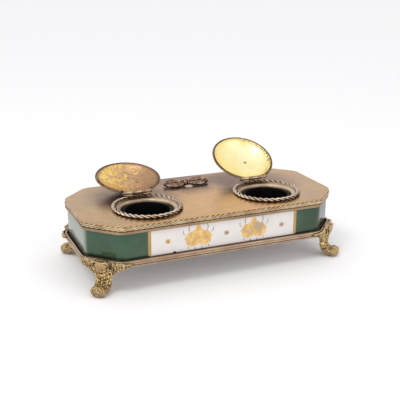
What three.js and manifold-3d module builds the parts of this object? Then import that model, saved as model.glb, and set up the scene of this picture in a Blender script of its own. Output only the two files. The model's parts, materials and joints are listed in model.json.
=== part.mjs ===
// Double inkwell: an eight-sided porcelain body between gilt brass mounts, on four cast scroll
// legs, with two drop-in ink cups under hinged domed lids and a bow-shaped pen rest.
// Millimetres, +Z up, +X to the right, the front face towards -Y.
// The lids are built closed and then turned about their hinge pins to the angle they rest at.
import * as THREE from 'three';
import { mergeVertices } from 'three/addons/utils/BufferGeometryUtils.js';
import Module from 'manifold-3d';

const wasm = await Module();
wasm.setup();

// ---------- driving dimensions ----------
const gap = 0.3; // clearance kept between two pieces that touch
const plateLength = 200;
const plateDepth = 95;
const cornerCut = 21; // along each side, at 45 degrees
const plateTop = 50;
const plateThickness = 1.2;
const ropeRadius = 1.5;
const ropeMiddle = plateTop - plateThickness - gap - ropeRadius;

const porcelainInset = 2.1; // from the outline of the top
const porcelainWall = 5;
const porcelainBottom = 24;
const porcelainTop = 44;
const porcelainCornerRound = 5;

const railProud = 0.8; // how far the base rail stands outside the outline
const railBottom = 19.5;
const railInner = 9; // inset of the rail's inner edge
const basePlateInset = 7.5;
const basePlateBottom = 19.8;
const basePlateThickness = 1.2;

const wellX = 48.5;
const wellY = -16;
const collarOuter = 26;
const collarHalfWidth = 1.75;
const collarHalfHeight = 1.25;
const throatRadius = 19.3;
const plateHole = 23;
const cupRadius = 18;
const cupWall = 1.7;
const cupBottom = 26;
const cupLipTop = 48.3;

const lidRadius = 23.6;
const lidHeight = 10;
const lidSkirt = 1;
const lidThickness = 1;
const lidRimWidth = 1;
const lidBottom = plateTop + gap + 2 * collarHalfHeight + gap;
const hingeZ = plateTop + 5;
const hingeReach = 22.4; // from the lid's centre to the hinge axis
const knuckleRadius = 1.5;
const hingeLength = 22;
const middleKnuckle = 7;
const pinRadius = 0.6;
const leftLidAngle = 169; // degrees open from closed
const rightLidAngle = 152;

const legWidth = 11;
const toeRadius = 4.3;
const toeReach = 8.5; // toe ball centre, outwards from the middle of the cut corner
const legScrewInset = 5;
const tieRodX = 74;
const tieRodY = 26;
const rodRadius = 1.5;
const penRestY = 24;

// ---------- materials ----------
function metal(colour, roughness) {
  return new THREE.MeshStandardMaterial({ color: colour, roughness, metalness: 1 });
}
const tanBrass = metal(0xb89a78, 0.35);
const ropeBrass = metal(0x9a8262, 0.4);
const redBrass = metal(0x8c6a52, 0.4);
const castGilt = metal(0xa8863e, 0.45);
const polishedGold = metal(0xe0bf62, 0.2);
const steel = metal(0x77746e, 0.45);
const porcelain = new THREE.MeshStandardMaterial({ color: 0x3f5b45, roughness: 0.12, metalness: 0 });
const inkStained = new THREE.MeshStandardMaterial({ color: 0x111014, roughness: 0.35, metalness: 0 });

// ---------- solids ----------
function toSolid(geometry) {
  const plain = geometry.clone();
  plain.deleteAttribute('normal');
  plain.deleteAttribute('uv');
  const merged = mergeVertices(plain, 1e-4);
  const mesh = new wasm.Mesh({
    numProp: 3,
    vertProperties: new Float32Array(merged.attributes.position.array),
    triVerts: new Uint32Array(merged.index.array),
  });
  return new wasm.Manifold(mesh);
}

function fromSolid(solid) {
  const mesh = solid.getMesh();
  const geometry = new THREE.BufferGeometry();
  geometry.setAttribute('position', new THREE.BufferAttribute(mesh.vertProperties, 3));
  geometry.setIndex(new THREE.BufferAttribute(mesh.triVerts, 1));
  return geometry;
}

function join(...geometries) {
  return fromSolid(geometries.map(toSolid).reduce((whole, next) => whole.add(next)));
}

function cut(geometry, ...cutters) {
  return fromSolid(cutters.map(toSolid).reduce((rest, next) => rest.subtract(next), toSolid(geometry)));
}

function rod(radius, bottom, top, sides = 16, x = 0, y = 0) {
  const geometry = new THREE.CylinderGeometry(radius, radius, top - bottom, sides);
  return geometry.rotateX(Math.PI / 2).translate(x, y, (top + bottom) / 2);
}

function block(x0, x1, y0, y1, z0, z1) {
  const geometry = new THREE.BoxGeometry(x1 - x0, y1 - y0, z1 - z0);
  return geometry.translate((x0 + x1) / 2, (y0 + y1) / 2, (z0 + z1) / 2);
}

// A ring or bowl turned about the vertical axis; points are [radius, height].
function turned(points, segments = 36) {
  const profile = points.map(([radius, height]) => new THREE.Vector2(radius, height));
  return new THREE.LatheGeometry(profile, segments).rotateX(Math.PI / 2);
}

// A shape in the plane of [outwards, height], extruded sideways and centred on y = 0.
function sideways(shape, width, curveSegments = 6) {
  const geometry = new THREE.ExtrudeGeometry(shape, { depth: width, bevelEnabled: false, curveSegments });
  return geometry.rotateX(Math.PI / 2).translate(0, width / 2, 0);
}

// ---------- the long octagon ----------
const cornerShrink = 2 - Math.SQRT2; // how much a 45 degree cut shortens for each unit of inset

function octagonCorners(inset) {
  const a = plateLength / 2 - inset;
  const b = plateDepth / 2 - inset;
  const c = cornerCut - inset * cornerShrink;
  return [
    [a, c - b], [a, b - c], [a - c, b], [c - a, b],
    [-a, b - c], [-a, c - b], [c - a, -b], [a - c, -b],
  ];
}

function roundedOctagon(inset, round, path) {
  const corners = octagonCorners(inset).map(([x, y]) => new THREE.Vector2(x, y));
  corners.forEach((corner, index) => {
    const before = corners[(index + 7) % 8].clone().sub(corner).setLength(round).add(corner);
    const after = corners[(index + 1) % 8].clone().sub(corner).setLength(round).add(corner);
    if (index === 0) path.moveTo(before.x, before.y);
    else path.lineTo(before.x, before.y);
    path.quadraticCurveTo(corner.x, corner.y, after.x, after.y);
  });
  path.closePath();
  return path;
}

// A moulding that runs round the octagon with mitred corners. Its profile is a closed list of
// [inset, height]: a lathe ring of eight segments is made first, then each of its eight
// sections is moved to the octagon corner it belongs to.
const moulding = { radius: 20, sections: 8 };

function mouldedRing(profile) {
  const closed = [...profile, profile[0]].reverse();
  const points = closed.map(([inset, height]) => new THREE.Vector2(moulding.radius - inset, height));
  const ring = new THREE.LatheGeometry(points, moulding.sections).rotateX(Math.PI / 2);
  const position = ring.attributes.position;
  for (let index = 0; index < position.count; index += 1) {
    const x = position.getX(index);
    const y = position.getY(index);
    const turn = Math.round(Math.atan2(y, x) / (Math.PI / 4)) + moulding.sections;
    const inset = moulding.radius - Math.hypot(x, y);
    const corner = octagonCorners(inset)[turn % moulding.sections];
    position.setXY(index, corner[0], corner[1]);
  }
  return fromSolid(toSolid(ring));
}

function ovalProfile(centre, height, halfWidth, halfHeight, sides) {
  return Array.from({ length: sides }, (_, index) => {
    const angle = (index / sides) * 2 * Math.PI;
    return [centre - halfWidth * Math.cos(angle), height - halfHeight * Math.sin(angle)];
  });
}

// ---------- top, body and base ----------
function flatOctagon(inset, bottom, thickness, holes) {
  const shape = new THREE.Shape(octagonCorners(inset).map(([x, y]) => new THREE.Vector2(x, y)));
  for (const [x, y, radius] of holes) {
    const hole = new THREE.Path();
    hole.absarc(x, y, radius, 0, 2 * Math.PI, true);
    shape.holes.push(hole);
  }
  const settings = { depth: thickness, bevelEnabled: false, curveSegments: 16 };
  return new THREE.ExtrudeGeometry(shape, settings).translate(0, 0, bottom);
}

// The plate reaches the outline of the top and covers the rope that runs under its edge.
function topPlate() {
  const edgeInset = 0.2;
  const holes = [
    [-wellX, wellY, plateHole],
    [wellX, wellY, plateHole],
    [0, penRestY, rodRadius],
  ];
  return flatOctagon(edgeInset, plateTop - plateThickness, plateThickness, holes);
}

function ropeRim() {
  return mouldedRing(ovalProfile(ropeRadius, ropeMiddle, ropeRadius, ropeRadius, 12));
}

function rimBand() {
  const bandBottom = 43;
  const bandTop = ropeMiddle - ropeRadius - gap;
  const shelfBottom = porcelainTop + gap;
  const outer = 0.5;
  const innerEdge = 8;
  const riser = 2 * ropeRadius + gap;
  return mouldedRing([
    [outer, bandBottom],
    [porcelainInset - gap, bandBottom],
    [porcelainInset - gap, shelfBottom],
    [innerEdge, shelfBottom],
    [innerEdge, plateTop - plateThickness - gap],
    [riser, plateTop - plateThickness - gap],
    [riser, bandTop],
    [outer, bandTop],
  ]);
}

function porcelainBody() {
  const shape = roundedOctagon(porcelainInset, porcelainCornerRound, new THREE.Shape());
  shape.holes.push(roundedOctagon(porcelainInset + porcelainWall, 1.5, new THREE.Path()));
  const settings = { depth: porcelainTop - porcelainBottom, bevelEnabled: false, curveSegments: 5 };
  return new THREE.ExtrudeGeometry(shape, settings).translate(0, 0, porcelainBottom);
}

const cornerMiddle = new THREE.Vector2((plateLength - cornerCut) / 2, (plateDepth - cornerCut) / 2);

function cornerPoint(signX, signY, inset) {
  const inwards = inset / Math.SQRT2;
  return [signX * (cornerMiddle.x - inwards), signY * (cornerMiddle.y - inwards)];
}

const cornerSigns = [[-1, -1], [1, -1], [-1, 1], [1, 1]];

function baseRail() {
  const shelf = porcelainBottom - gap;
  const lip = porcelainBottom + 0.2;
  const rebate = basePlateInset - gap;
  const rebateTop = basePlateBottom + basePlateThickness + gap;
  const rail = mouldedRing([
    [-0.4, railBottom],
    [rebate, railBottom],
    [rebate, rebateTop],
    [railInner, rebateTop],
    [railInner, shelf],
    [2.1, shelf],
    [1.6, lip],
    [0.6, lip],
    [0.2, 23.6],
    [0.2, 22.9],
    [-0.5, 22.4],
    [-0.5, 21.6],
    [0.1, 21.1],
    [-railProud, 20.6],
    [-railProud, 19.9],
  ]);
  const screwHoleTop = 22.9;
  const holes = cornerSigns.map(([signX, signY]) => {
    const [x, y] = cornerPoint(signX, signY, legScrewInset);
    return rod(rodRadius + gap, railBottom - 1, screwHoleTop, 16, x, y);
  });
  return cut(rail, ...holes);
}

function basePlate() {
  const holes = cornerSigns.map(([signX, signY]) => [signX * tieRodX, signY * tieRodY, rodRadius + gap]);
  return flatOctagon(basePlateInset, basePlateBottom, basePlateThickness, holes);
}

function tieRod() {
  const top = plateTop - plateThickness - gap;
  return join(rod(rodRadius, 16.6, top - 0.6, 12), rod(3.5, top - 1.2, top, 16));
}

function tieNut() {
  const top = basePlateBottom - gap;
  return cut(rod(3.2, top - 2.4, top, 6), rod(rodRadius + gap, top - 3, top + 1, 16));
}

// ---------- legs ----------
// Local frame: +X outwards from the middle of the cut corner, Y along the corner, Z up.
const padTop = railBottom - gap;
const padBottom = padTop - 2;
const castingBack = railProud + gap;
const legTop = 24.8;

function legShaft() {
  const shape = new THREE.Shape();
  shape.moveTo(castingBack, legTop);
  shape.lineTo(4.6, legTop);
  shape.splineThru([
    new THREE.Vector2(5.4, 22.6),
    new THREE.Vector2(4.6, 18.8),
    new THREE.Vector2(2.9, 14),
    new THREE.Vector2(2.1, 10),
    new THREE.Vector2(3.2, 6.8),
    new THREE.Vector2(6.4, 5),
  ]);
  shape.lineTo(toeReach, 0.8);
  shape.splineThru([
    new THREE.Vector2(5.6, 0.3),
    new THREE.Vector2(1.4, 2.6),
    new THREE.Vector2(-1.2, 6.2),
    new THREE.Vector2(-2.2, 11),
    new THREE.Vector2(-2.2, padBottom),
  ]);
  shape.lineTo(-2.2, padTop);
  shape.lineTo(castingBack, padTop);
  shape.closePath();
  return sideways(shape, legWidth, 3);
}

// The pierced shield that spreads over the cut corner, and one wing along each side of it.
function legApron() {
  const half = cornerCut / Math.SQRT2 + 1.2;
  const shape = new THREE.Shape();
  shape.moveTo(-half, 19.7);
  shape.quadraticCurveTo(-half / 2, 19, -legWidth / 2, 16);
  shape.lineTo(legWidth / 2, 16);
  shape.quadraticCurveTo(half / 2, 19, half, 19.7);
  shape.lineTo(half, legTop - 0.3);
  shape.lineTo(-half, legTop - 0.3);
  shape.closePath();
  const thickness = 2;
  const apron = new THREE.ExtrudeGeometry(shape, { depth: thickness, bevelEnabled: false, curveSegments: 4 });
  return apron.rotateX(Math.PI / 2).rotateZ(Math.PI / 2).translate(castingBack, 0, 0);
}

function legWing(side) {
  const length = 11.5;
  const shape = new THREE.Shape();
  shape.moveTo(-1, 19.7);
  shape.quadraticCurveTo(length * 0.6, 20.2, length, 22.6);
  shape.quadraticCurveTo(length * 0.9, legTop - 0.3, length * 0.6, legTop - 0.3);
  shape.lineTo(-1, legTop - 0.3);
  shape.closePath();
  const thickness = 1.6;
  const wing = new THREE.ExtrudeGeometry(shape, { depth: thickness, bevelEnabled: false, curveSegments: 4 });
  wing.rotateX(Math.PI / 2);
  wing.rotateZ(Math.PI / 2);
  if (side < 0) wing.rotateZ(Math.PI).translate(thickness, 0, 0);
  wing.translate(castingBack, 0, 0);
  return wing.rotateZ((side * Math.PI) / 4).translate(0, (side * cornerCut) / Math.SQRT2, 0);
}

function legToe() {
  const ball = new THREE.SphereGeometry(toeRadius, 14, 9).scale(1, 1.22, 1);
  return ball.translate(toeReach, 0, toeRadius - 0.5);
}

function leg() {
  const screwX = -legScrewInset;
  const pad = block(screwX - 3, castingBack, -legWidth / 2, legWidth / 2, padBottom, padTop);
  const whole = join(legShaft(), legApron(), legWing(1), legWing(-1), legToe(), pad);
  const screwHole = rod(rodRadius + gap, padBottom - 0.2, padTop + 1, 16, screwX, 0);
  const floor = block(-20, 20, -20, 20, -10, 0);
  return cut(whole, screwHole, floor);
}

function legScrew() {
  const headTop = padBottom - gap;
  const shank = rod(rodRadius, headTop - 0.5, 22.6, 12);
  const head = rod(2.5, headTop - 1.6, headTop, 16);
  const slot = block(-3, 3, -0.4, 0.4, headTop - 2, headTop - 1);
  return cut(join(shank, head), slot);
}

// ---------- wells ----------
function collar() {
  const radius = collarOuter - collarHalfWidth;
  const height = plateTop + gap + collarHalfHeight;
  const oval = ovalProfile(-radius, height, collarHalfWidth, collarHalfHeight, 8);
  const profile = oval.map(([inset, z]) => [-inset, z]).reverse();
  return turned([...profile, profile[0]]);
}

function wellSleeve() {
  const outer = collarOuter - 2 * collarHalfWidth - gap;
  const wall = 0.8;
  const ledgeTop = 47;
  const ledgeInner = cupRadius + gap;
  return turned([
    [outer, 51.6],
    [throatRadius, 49.2],
    [throatRadius, ledgeTop],
    [ledgeInner, ledgeTop],
    [ledgeInner, ledgeTop - wall],
    [throatRadius + wall, ledgeTop - wall],
    [throatRadius + wall, 48.9],
    [outer, 50.7],
    [outer, 51.6],
  ]);
}

function inkCup() {
  const lipRadius = throatRadius - gap;
  const lipBottom = cupLipTop - 1;
  const floorTop = cupBottom + 2.5;
  return turned([
    [0, cupBottom],
    [cupRadius, cupBottom],
    [cupRadius, lipBottom],
    [lipRadius, lipBottom],
    [lipRadius, cupLipTop],
    [cupRadius - cupWall, cupLipTop],
    [cupRadius - cupWall, floorTop],
    [0, floorTop],
  ]);
}

// ---------- lids ----------
// Local frame of a lid: the origin is on the hinge axis, and the closed lid lies towards -Y.
const domeHeight = lidHeight - lidSkirt;
const domeRadius = (lidRadius ** 2 + domeHeight ** 2) / (2 * domeHeight);
const lidBase = lidBottom - hingeZ;
const domeCentre = lidBase + lidHeight - domeRadius;

// Part of a sphere about the dome's centre, as [distance from the lid's middle, height].
function domeArc(radius, fromDistance, toDistance, steps) {
  return Array.from({ length: steps + 1 }, (_, index) => {
    const distance = fromDistance + ((toDistance - fromDistance) * index) / steps;
    return [distance, domeCentre + Math.sqrt(radius ** 2 - distance ** 2)];
  });
}

function hingeFlat() {
  const flat = hingeReach - knuckleRadius - gap;
  return block(-15, 15, flat, lidRadius + 5, lidBase - 1, lidBase + lidHeight);
}

const leafWidth = middleKnuckle - 0.2;
const leafReach = 17.5; // from the lid's middle to the far end of the leaf

function lidDome() {
  const notchHalf = leafWidth / 2 + gap;
  const leafNotch = block(-notchHalf, notchHalf, leafReach - gap, hingeReach, lidBase, lidBase + lidHeight);
  const innerEdge = lidRadius - lidThickness;
  const outside = domeArc(domeRadius, 0, lidRadius, 6).reverse();
  const inside = domeArc(domeRadius - lidThickness, 0, innerEdge, 6);
  const dome = turned([...inside, [innerEdge, lidBase], [lidRadius, lidBase], ...outside]);
  return cut(dome, hingeFlat(), leafNotch).translate(0, -hingeReach, 0);
}

function lidRim() {
  const inner = lidRadius + gap;
  const outer = inner + lidRimWidth;
  const height = 1.2;
  const openHalf = hingeLength / 2 + 1.2;
  const hingeOpening = block(-openHalf, openHalf, lidRadius / 2, outer + 1, lidBase - 1, lidBase + 2 * height);
  const rim = turned([
    [inner, lidBase],
    [outer - 0.3, lidBase],
    [outer, lidBase + height / 2],
    [outer - 0.3, lidBase + height],
    [inner, lidBase + height],
    [inner, lidBase],
  ]);
  return cut(rim, hingeOpening).translate(0, -hingeReach, 0);
}

function alongX(radius, from, to, sides = 12) {
  const cylinder = new THREE.CylinderGeometry(radius, radius, to - from, sides);
  return cylinder.rotateZ(Math.PI / 2).translate((from + to) / 2, 0, 0);
}

// A shape in the plane of [y, z], extruded along X and centred on x = 0.
function acrossX(shape, width) {
  const geometry = new THREE.ExtrudeGeometry(shape, { depth: width, bevelEnabled: false });
  return geometry.rotateX(Math.PI / 2).rotateZ(Math.PI / 2).translate(-width / 2, 0, 0);
}

function pinBore() {
  return alongX(pinRadius + gap, -hingeLength, hingeLength);
}

// The leaf fills a notch in the edge of the dome and ends in the middle knuckle.
function lidLeaf() {
  const nearEnd = hingeReach - knuckleRadius - gap;
  const under = domeArc(domeRadius - lidThickness, leafReach, nearEnd, 4);
  const over = domeArc(domeRadius, nearEnd, leafReach, 4);
  const neck = [[hingeReach - 0.9, -0.5], [hingeReach - 0.2, 1.2]];
  const shape = new THREE.Shape();
  [...under, ...neck, ...over].forEach(([distance, height], index) => {
    const y = distance - hingeReach;
    if (index === 0) shape.moveTo(y, height);
    else shape.lineTo(y, height);
  });
  shape.closePath();
  const leaf = acrossX(shape, leafWidth);
  const knuckle = alongX(knuckleRadius, -middleKnuckle / 2, middleKnuckle / 2);
  return cut(join(leaf, knuckle), pinBore());
}

// One of the two outer knuckles, with the foot that it is soldered to the collar by.
function hingeKnuckle(side) {
  const inner = side * (middleKnuckle / 2 + gap);
  const outer = (side * hingeLength) / 2;
  const [from, to] = [Math.min(inner, outer), Math.max(inner, outer)];
  const footHalf = 1.2;
  const foot = block(from, to, -footHalf, footHalf, lidBase, 0);
  return cut(join(alongX(knuckleRadius, from, to), foot), pinBore());
}

function hingePin() {
  const pin = alongX(pinRadius, -hingeLength / 2 - 0.4, hingeLength / 2 + 0.4, 12);
  const head = (x) => alongX(1.1, x, x + 0.5, 12);
  return join(pin, head(hingeLength / 2 + gap), head(-hingeLength / 2 - gap - 0.5));
}

// ---------- pen rest ----------
// A bow of two banded loops that lean back from the plate, with a knot on a round foot.
const bowTilt = Math.PI / 9;
const bowCentreZ = plateTop + 4;

function bowLoop(side) {
  const halfWidth = 6.6;
  const halfDepth = 5;
  const middle = 9.4;
  const points = [];
  for (let step = -5; step <= 5; step += 1) {
    const angle = (step / 5) * (Math.PI - 0.25);
    const x = side * (middle + halfWidth * Math.cos(angle));
    points.push(new THREE.Vector3(x, halfDepth * Math.sin(angle), 0));
  }
  const band = new THREE.Shape();
  band.absellipse(0, 0, 1.1, 2, 0, 2 * Math.PI, false);
  const path = new THREE.CatmullRomCurve3(points);
  return new THREE.ExtrudeGeometry(band, { steps: 16, extrudePath: path, curveSegments: 4 });
}

function penRest() {
  const knot = new THREE.SphereGeometry(1, 12, 8).scale(4.4, 3.4, 2.4);
  const bow = join(bowLoop(-1), bowLoop(1), knot).rotateX(bowTilt).translate(0, penRestY, bowCentreZ);
  const foot = rod(3, plateTop + gap, bowCentreZ, 16, 0, penRestY);
  const plateTopHalf = block(-40, 40, -40, 60, 0, plateTop + gap);
  const screwHole = rod(rodRadius, plateTop, plateTop + 2.4, 12, 0, penRestY);
  return cut(join(bow, foot), plateTopHalf, screwHole);
}

function penRestScrew() {
  const headTop = plateTop - plateThickness - gap;
  return join(rod(1.2, headTop - 0.5, plateTop + 2, 12), rod(2.5, headTop - 1.6, headTop, 16));
}

// ---------- assembly ----------
const inkstand = new THREE.Group();
const assembly = new THREE.Group();
inkstand.add(assembly);

function place(parent, name, geometry, material, x = 0, y = 0, z = 0, turn = 0) {
  const mesh = new THREE.Mesh(geometry, material);
  mesh.name = name;
  mesh.position.set(x, y, z);
  mesh.rotation.z = turn;
  parent.add(mesh);
}

place(assembly, 'top_plate', topPlate(), tanBrass);
place(assembly, 'rope_rim', ropeRim(), ropeBrass);
place(assembly, 'rim_band', rimBand(), tanBrass);
place(assembly, 'porcelain_body', porcelainBody(), porcelain);
place(assembly, 'base_rail', baseRail(), redBrass);
place(assembly, 'base_plate', basePlate(), redBrass);
place(assembly, 'pen_rest', penRest(), ropeBrass);
place(assembly, 'pen_rest_screw', penRestScrew(), steel, 0, penRestY);

const cornerNames = ['front_left', 'front_right', 'back_left', 'back_right'];
cornerSigns.forEach(([signX, signY], index) => {
  const corner = cornerNames[index];
  const turn = Math.atan2(signY, signX);
  const [screwX, screwY] = cornerPoint(signX, signY, legScrewInset);
  const [rodX, rodY] = [signX * tieRodX, signY * tieRodY];
  place(assembly, `${corner}_leg`, leg(), castGilt, ...cornerPoint(signX, signY, 0), 0, turn);
  place(assembly, `${corner}_leg_screw`, legScrew(), steel, screwX, screwY);
  place(assembly, `${corner}_tie_rod`, tieRod(), steel, rodX, rodY);
  place(assembly, `${corner}_tie_nut`, tieNut(), steel, rodX, rodY);
});

const wells = [['left', -wellX, leftLidAngle], ['right', wellX, rightLidAngle]];
for (const [side, x, openAngle] of wells) {
  place(assembly, `${side}_collar`, collar(), ropeBrass, x, wellY);
  place(assembly, `${side}_well_sleeve`, wellSleeve(), tanBrass, x, wellY);
  place(assembly, `${side}_ink_cup`, inkCup(), inkStained, x, wellY);

  const hinge = new THREE.Group();
  hinge.position.set(x, wellY + hingeReach, hingeZ);
  assembly.add(hinge);
  place(hinge, `${side}_hinge_knuckle_left`, hingeKnuckle(-1), ropeBrass);
  place(hinge, `${side}_hinge_knuckle_right`, hingeKnuckle(1), ropeBrass);
  place(hinge, `${side}_hinge_pin`, hingePin(), steel);

  const lid = new THREE.Group();
  lid.rotation.x = THREE.MathUtils.degToRad(-openAngle);
  hinge.add(lid);
  place(lid, `${side}_lid_dome`, lidDome(), polishedGold);
  place(lid, `${side}_lid_rim`, lidRim(), ropeBrass);
  place(lid, `${side}_lid_leaf`, lidLeaf(), ropeBrass);
}

// The origin is on the ground, under the middle of everything as it stands with its lids open.
assembly.updateMatrixWorld(true);
const footprint = new THREE.Box3().setFromObject(assembly, true);
assembly.position.y = -(footprint.min.y + footprint.max.y) / 2;

export default inkstand;
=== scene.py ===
"""Looks of the double inkwell: twisted wire rims, glazed and gilded porcelain, cast acanthus
legs, domed lids, ink cups and the bow pen rest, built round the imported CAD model."""

import json
from math import asin, atan2, copysign, cos, exp, floor, hypot, pi, radians, sin, sqrt, tan

import bmesh
import bpy
import numpy as np
from mathutils import Matrix, Vector, noise


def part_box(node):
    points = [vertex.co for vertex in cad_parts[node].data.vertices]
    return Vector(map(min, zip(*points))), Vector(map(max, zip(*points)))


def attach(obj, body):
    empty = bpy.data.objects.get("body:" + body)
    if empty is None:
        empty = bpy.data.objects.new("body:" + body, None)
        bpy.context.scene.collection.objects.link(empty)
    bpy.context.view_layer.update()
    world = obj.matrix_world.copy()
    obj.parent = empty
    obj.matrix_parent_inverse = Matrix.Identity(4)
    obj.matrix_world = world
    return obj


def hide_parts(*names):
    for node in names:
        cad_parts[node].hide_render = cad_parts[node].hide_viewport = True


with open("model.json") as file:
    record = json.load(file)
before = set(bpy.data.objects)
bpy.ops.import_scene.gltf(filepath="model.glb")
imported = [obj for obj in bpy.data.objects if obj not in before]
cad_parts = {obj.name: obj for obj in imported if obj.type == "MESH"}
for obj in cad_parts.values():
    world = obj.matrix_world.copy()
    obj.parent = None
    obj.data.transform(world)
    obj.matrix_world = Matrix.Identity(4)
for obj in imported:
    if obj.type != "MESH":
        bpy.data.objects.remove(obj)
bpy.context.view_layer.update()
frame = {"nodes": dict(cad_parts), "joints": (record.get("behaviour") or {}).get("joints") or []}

MM = 0.001
TAU = 2 * pi

# ---------- sizes taken from the frame ----------
RIM_LOW, RIM_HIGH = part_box("rope_rim")
HALF_LENGTH = RIM_HIGH.x
HALF_DEPTH = (RIM_HIGH.y - RIM_LOW.y) / 2
CENTRE_Y = (RIM_HIGH.y + RIM_LOW.y) / 2
PLATE_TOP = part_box("top_plate")[1].z
PORCELAIN_LOW, PORCELAIN_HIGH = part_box("porcelain_body")
FRONT_FACE_Y = PORCELAIN_LOW.y
JOINTS = {joint["name"]: joint for joint in frame["joints"]}
SIDES = {"left": -1, "right": 1}
CORNERS = {
    "front_left": (-1, -1),
    "front_right": (1, -1),
    "back_left": (-1, 1),
    "back_right": (1, 1),
}


def well_centre(side):
    low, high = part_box(f"{side}_collar")
    return ((low.x + high.x) / 2, (low.y + high.y) / 2)


HINGE_REACH = JOINTS["left_lid_hinge"]["pos_m"][1] - well_centre("left")[1]  # from a lid's middle

# ---------- driving sizes of the looks ----------
CORNER_CUT = 21 * MM  # along each side of the octagon, at 45 degrees
CORNER_SHRINK = 2 - sqrt(2)  # how much a cut shortens for each unit of inset
CORNER_ROUNDING = 10 * MM  # of the body and its mounts
ROPE_OVERLAP = 0.8 * MM  # how far the rope rim reaches up over the edge of the plate
PANEL_HALF = 57.4 * MM  # half length of the white panel, to the middle of the gilt lines
PAINT_X = 1.2 * MM  # the painter's middle lies a little to the right
ORNAMENT_X = 22 * MM  # of each ornament, from the painter's middle
ORNAMENT_Z = (PORCELAIN_LOW.z + PORCELAIN_HIGH.z) / 2 - 1.4 * MM
DOT_X = 45.1 * MM  # of the outer dots, from the painter's middle
DOT_Z = ORNAMENT_Z + 1 * MM
THROAT = 19.3 * MM  # inner radius of a well's brass throat
CUP_RADIUS = 18 * MM
KNUCKLE = 1.5 * MM
HINGE_HALF = 11 * MM
MIDDLE_HALF = 3.5 * MM  # of the middle knuckle
HINGE_GAP = 0.3 * MM
LID_RADIUS = 23.6 * MM
LID_BASE = -1.9 * MM  # height of the closed lid's edge above its hinge axis
LID_HEIGHT = 10 * MM
LID_SKIRT = 1 * MM
LID_WALL = 1 * MM
LEG_TURN = radians(45)  # of a leg's own frame, so that a leg points outwards at its corner
LEG_SLIP = 1.3 * MM  # how far the front left leg is off its place
CHASING_SEED = 2  # of the noise that bends the leaf strokes


# ---------- meshes ----------
def new_object(name, data):
    thing = bpy.data.objects.new(name, data)
    bpy.context.scene.collection.objects.link(thing)
    return thing


def assign(piece, body, node=None):
    """Says which CAD node a piece stands for, if any, which body carries it."""
    if node:
        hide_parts(node)
    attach(piece, body)


def add_mesh(name, points, faces, material, smooth=True):
    mesh = bpy.data.meshes.new(name)
    mesh.from_pydata([tuple(point) for point in points], [], [tuple(face) for face in faces])
    mesh.validate()
    mesh.update()
    mesh.materials.append(material)
    for polygon in mesh.polygons:
        polygon.use_smooth = smooth
    return new_object(name, mesh)


def build(name, shape, material, node=None, body="stand", pose=None, smooth=True):
    """A piece from its points and faces, with its faces outwards, in its pose and assigned."""
    piece = outward(add_mesh(name, *shape, material, smooth))
    if pose:
        piece.matrix_world = pose
    assign(piece, body, node)


def loft(rings, closed_path):
    """Points and faces through a list of rings; an open loft gets flat end caps."""
    rings = np.asarray(rings)
    rows, columns = rings.shape[:2]
    faces = grid_faces(rows, columns, closed_path)
    if not closed_path:
        faces.append(tuple(range(columns))[::-1])
        faces.append(tuple((rows - 1) * columns + column for column in range(columns)))
    return rings.reshape(-1, 3), faces


def grid_faces(rows, columns, closed_path):
    """Quads between rings of points; a closed path joins its last ring to its first."""
    faces = []
    for row in range(rows if closed_path else rows - 1):
        for column in range(columns):
            here, there = row * columns, (row + 1) % rows * columns
            following = (column + 1) % columns
            faces.append((here + column, here + following, there + following, there + column))
    return faces


def merged(parts):
    """One list of points and faces from several."""
    points, faces, first = [], [], 0
    for part_points, part_faces in parts:
        points.extend(part_points)
        faces.extend(tuple(index + first for index in face) for face in part_faces)
        first += len(part_points)
    return points, faces


def apply_modifiers(piece):
    evaluated = piece.evaluated_get(bpy.context.evaluated_depsgraph_get())
    mesh = bpy.data.meshes.new_from_object(evaluated)
    piece.modifiers.clear()
    piece.data = mesh


def outward(piece):
    """Turns every face outwards."""
    shell = bmesh.new()
    shell.from_mesh(piece.data)
    bmesh.ops.recalc_face_normals(shell, faces=shell.faces)
    shell.to_mesh(piece.data)
    shell.free()
    return piece


def bevel(piece, width):
    """Rounds the sharp edges of a piece and shades it smoothly."""
    modifier = piece.modifiers.new("edges", "BEVEL")
    modifier.width = width
    modifier.segments = 2
    modifier.limit_method = "ANGLE"
    modifier.angle_limit = radians(35)
    apply_modifiers(piece)
    for polygon in piece.data.polygons:
        polygon.use_smooth = True
    modifier = piece.modifiers.new("normals", "WEIGHTED_NORMAL")
    modifier.keep_sharp = True
    apply_modifiers(piece)


def round_angles(count):
    return TAU * np.arange(count) / count


def arc(centre, radius, start, end, steps):
    """Points of an arc in a plane, angles in degrees."""
    angles = np.radians(np.linspace(start, end, steps))
    return [(centre[0] + radius * cos(a), centre[1] + radius * sin(a)) for a in angles]


def unit(vectors):
    """Each row of an array scaled to length 1."""
    return vectors / np.linalg.norm(vectors, axis=1)[:, None]


# ---------- the long octagon ----------
def octagon_corners(inset):
    a = HALF_LENGTH - inset
    b = HALF_DEPTH - inset
    c = CORNER_CUT - inset * CORNER_SHRINK
    corners = [(a, c - b), (a, b - c), (a - c, b), (c - a, b)]
    corners += [(-a, b - c), (-a, c - b), (c - a, -b), (a - c, -b)]
    return [np.array(corner) for corner in corners]


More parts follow.
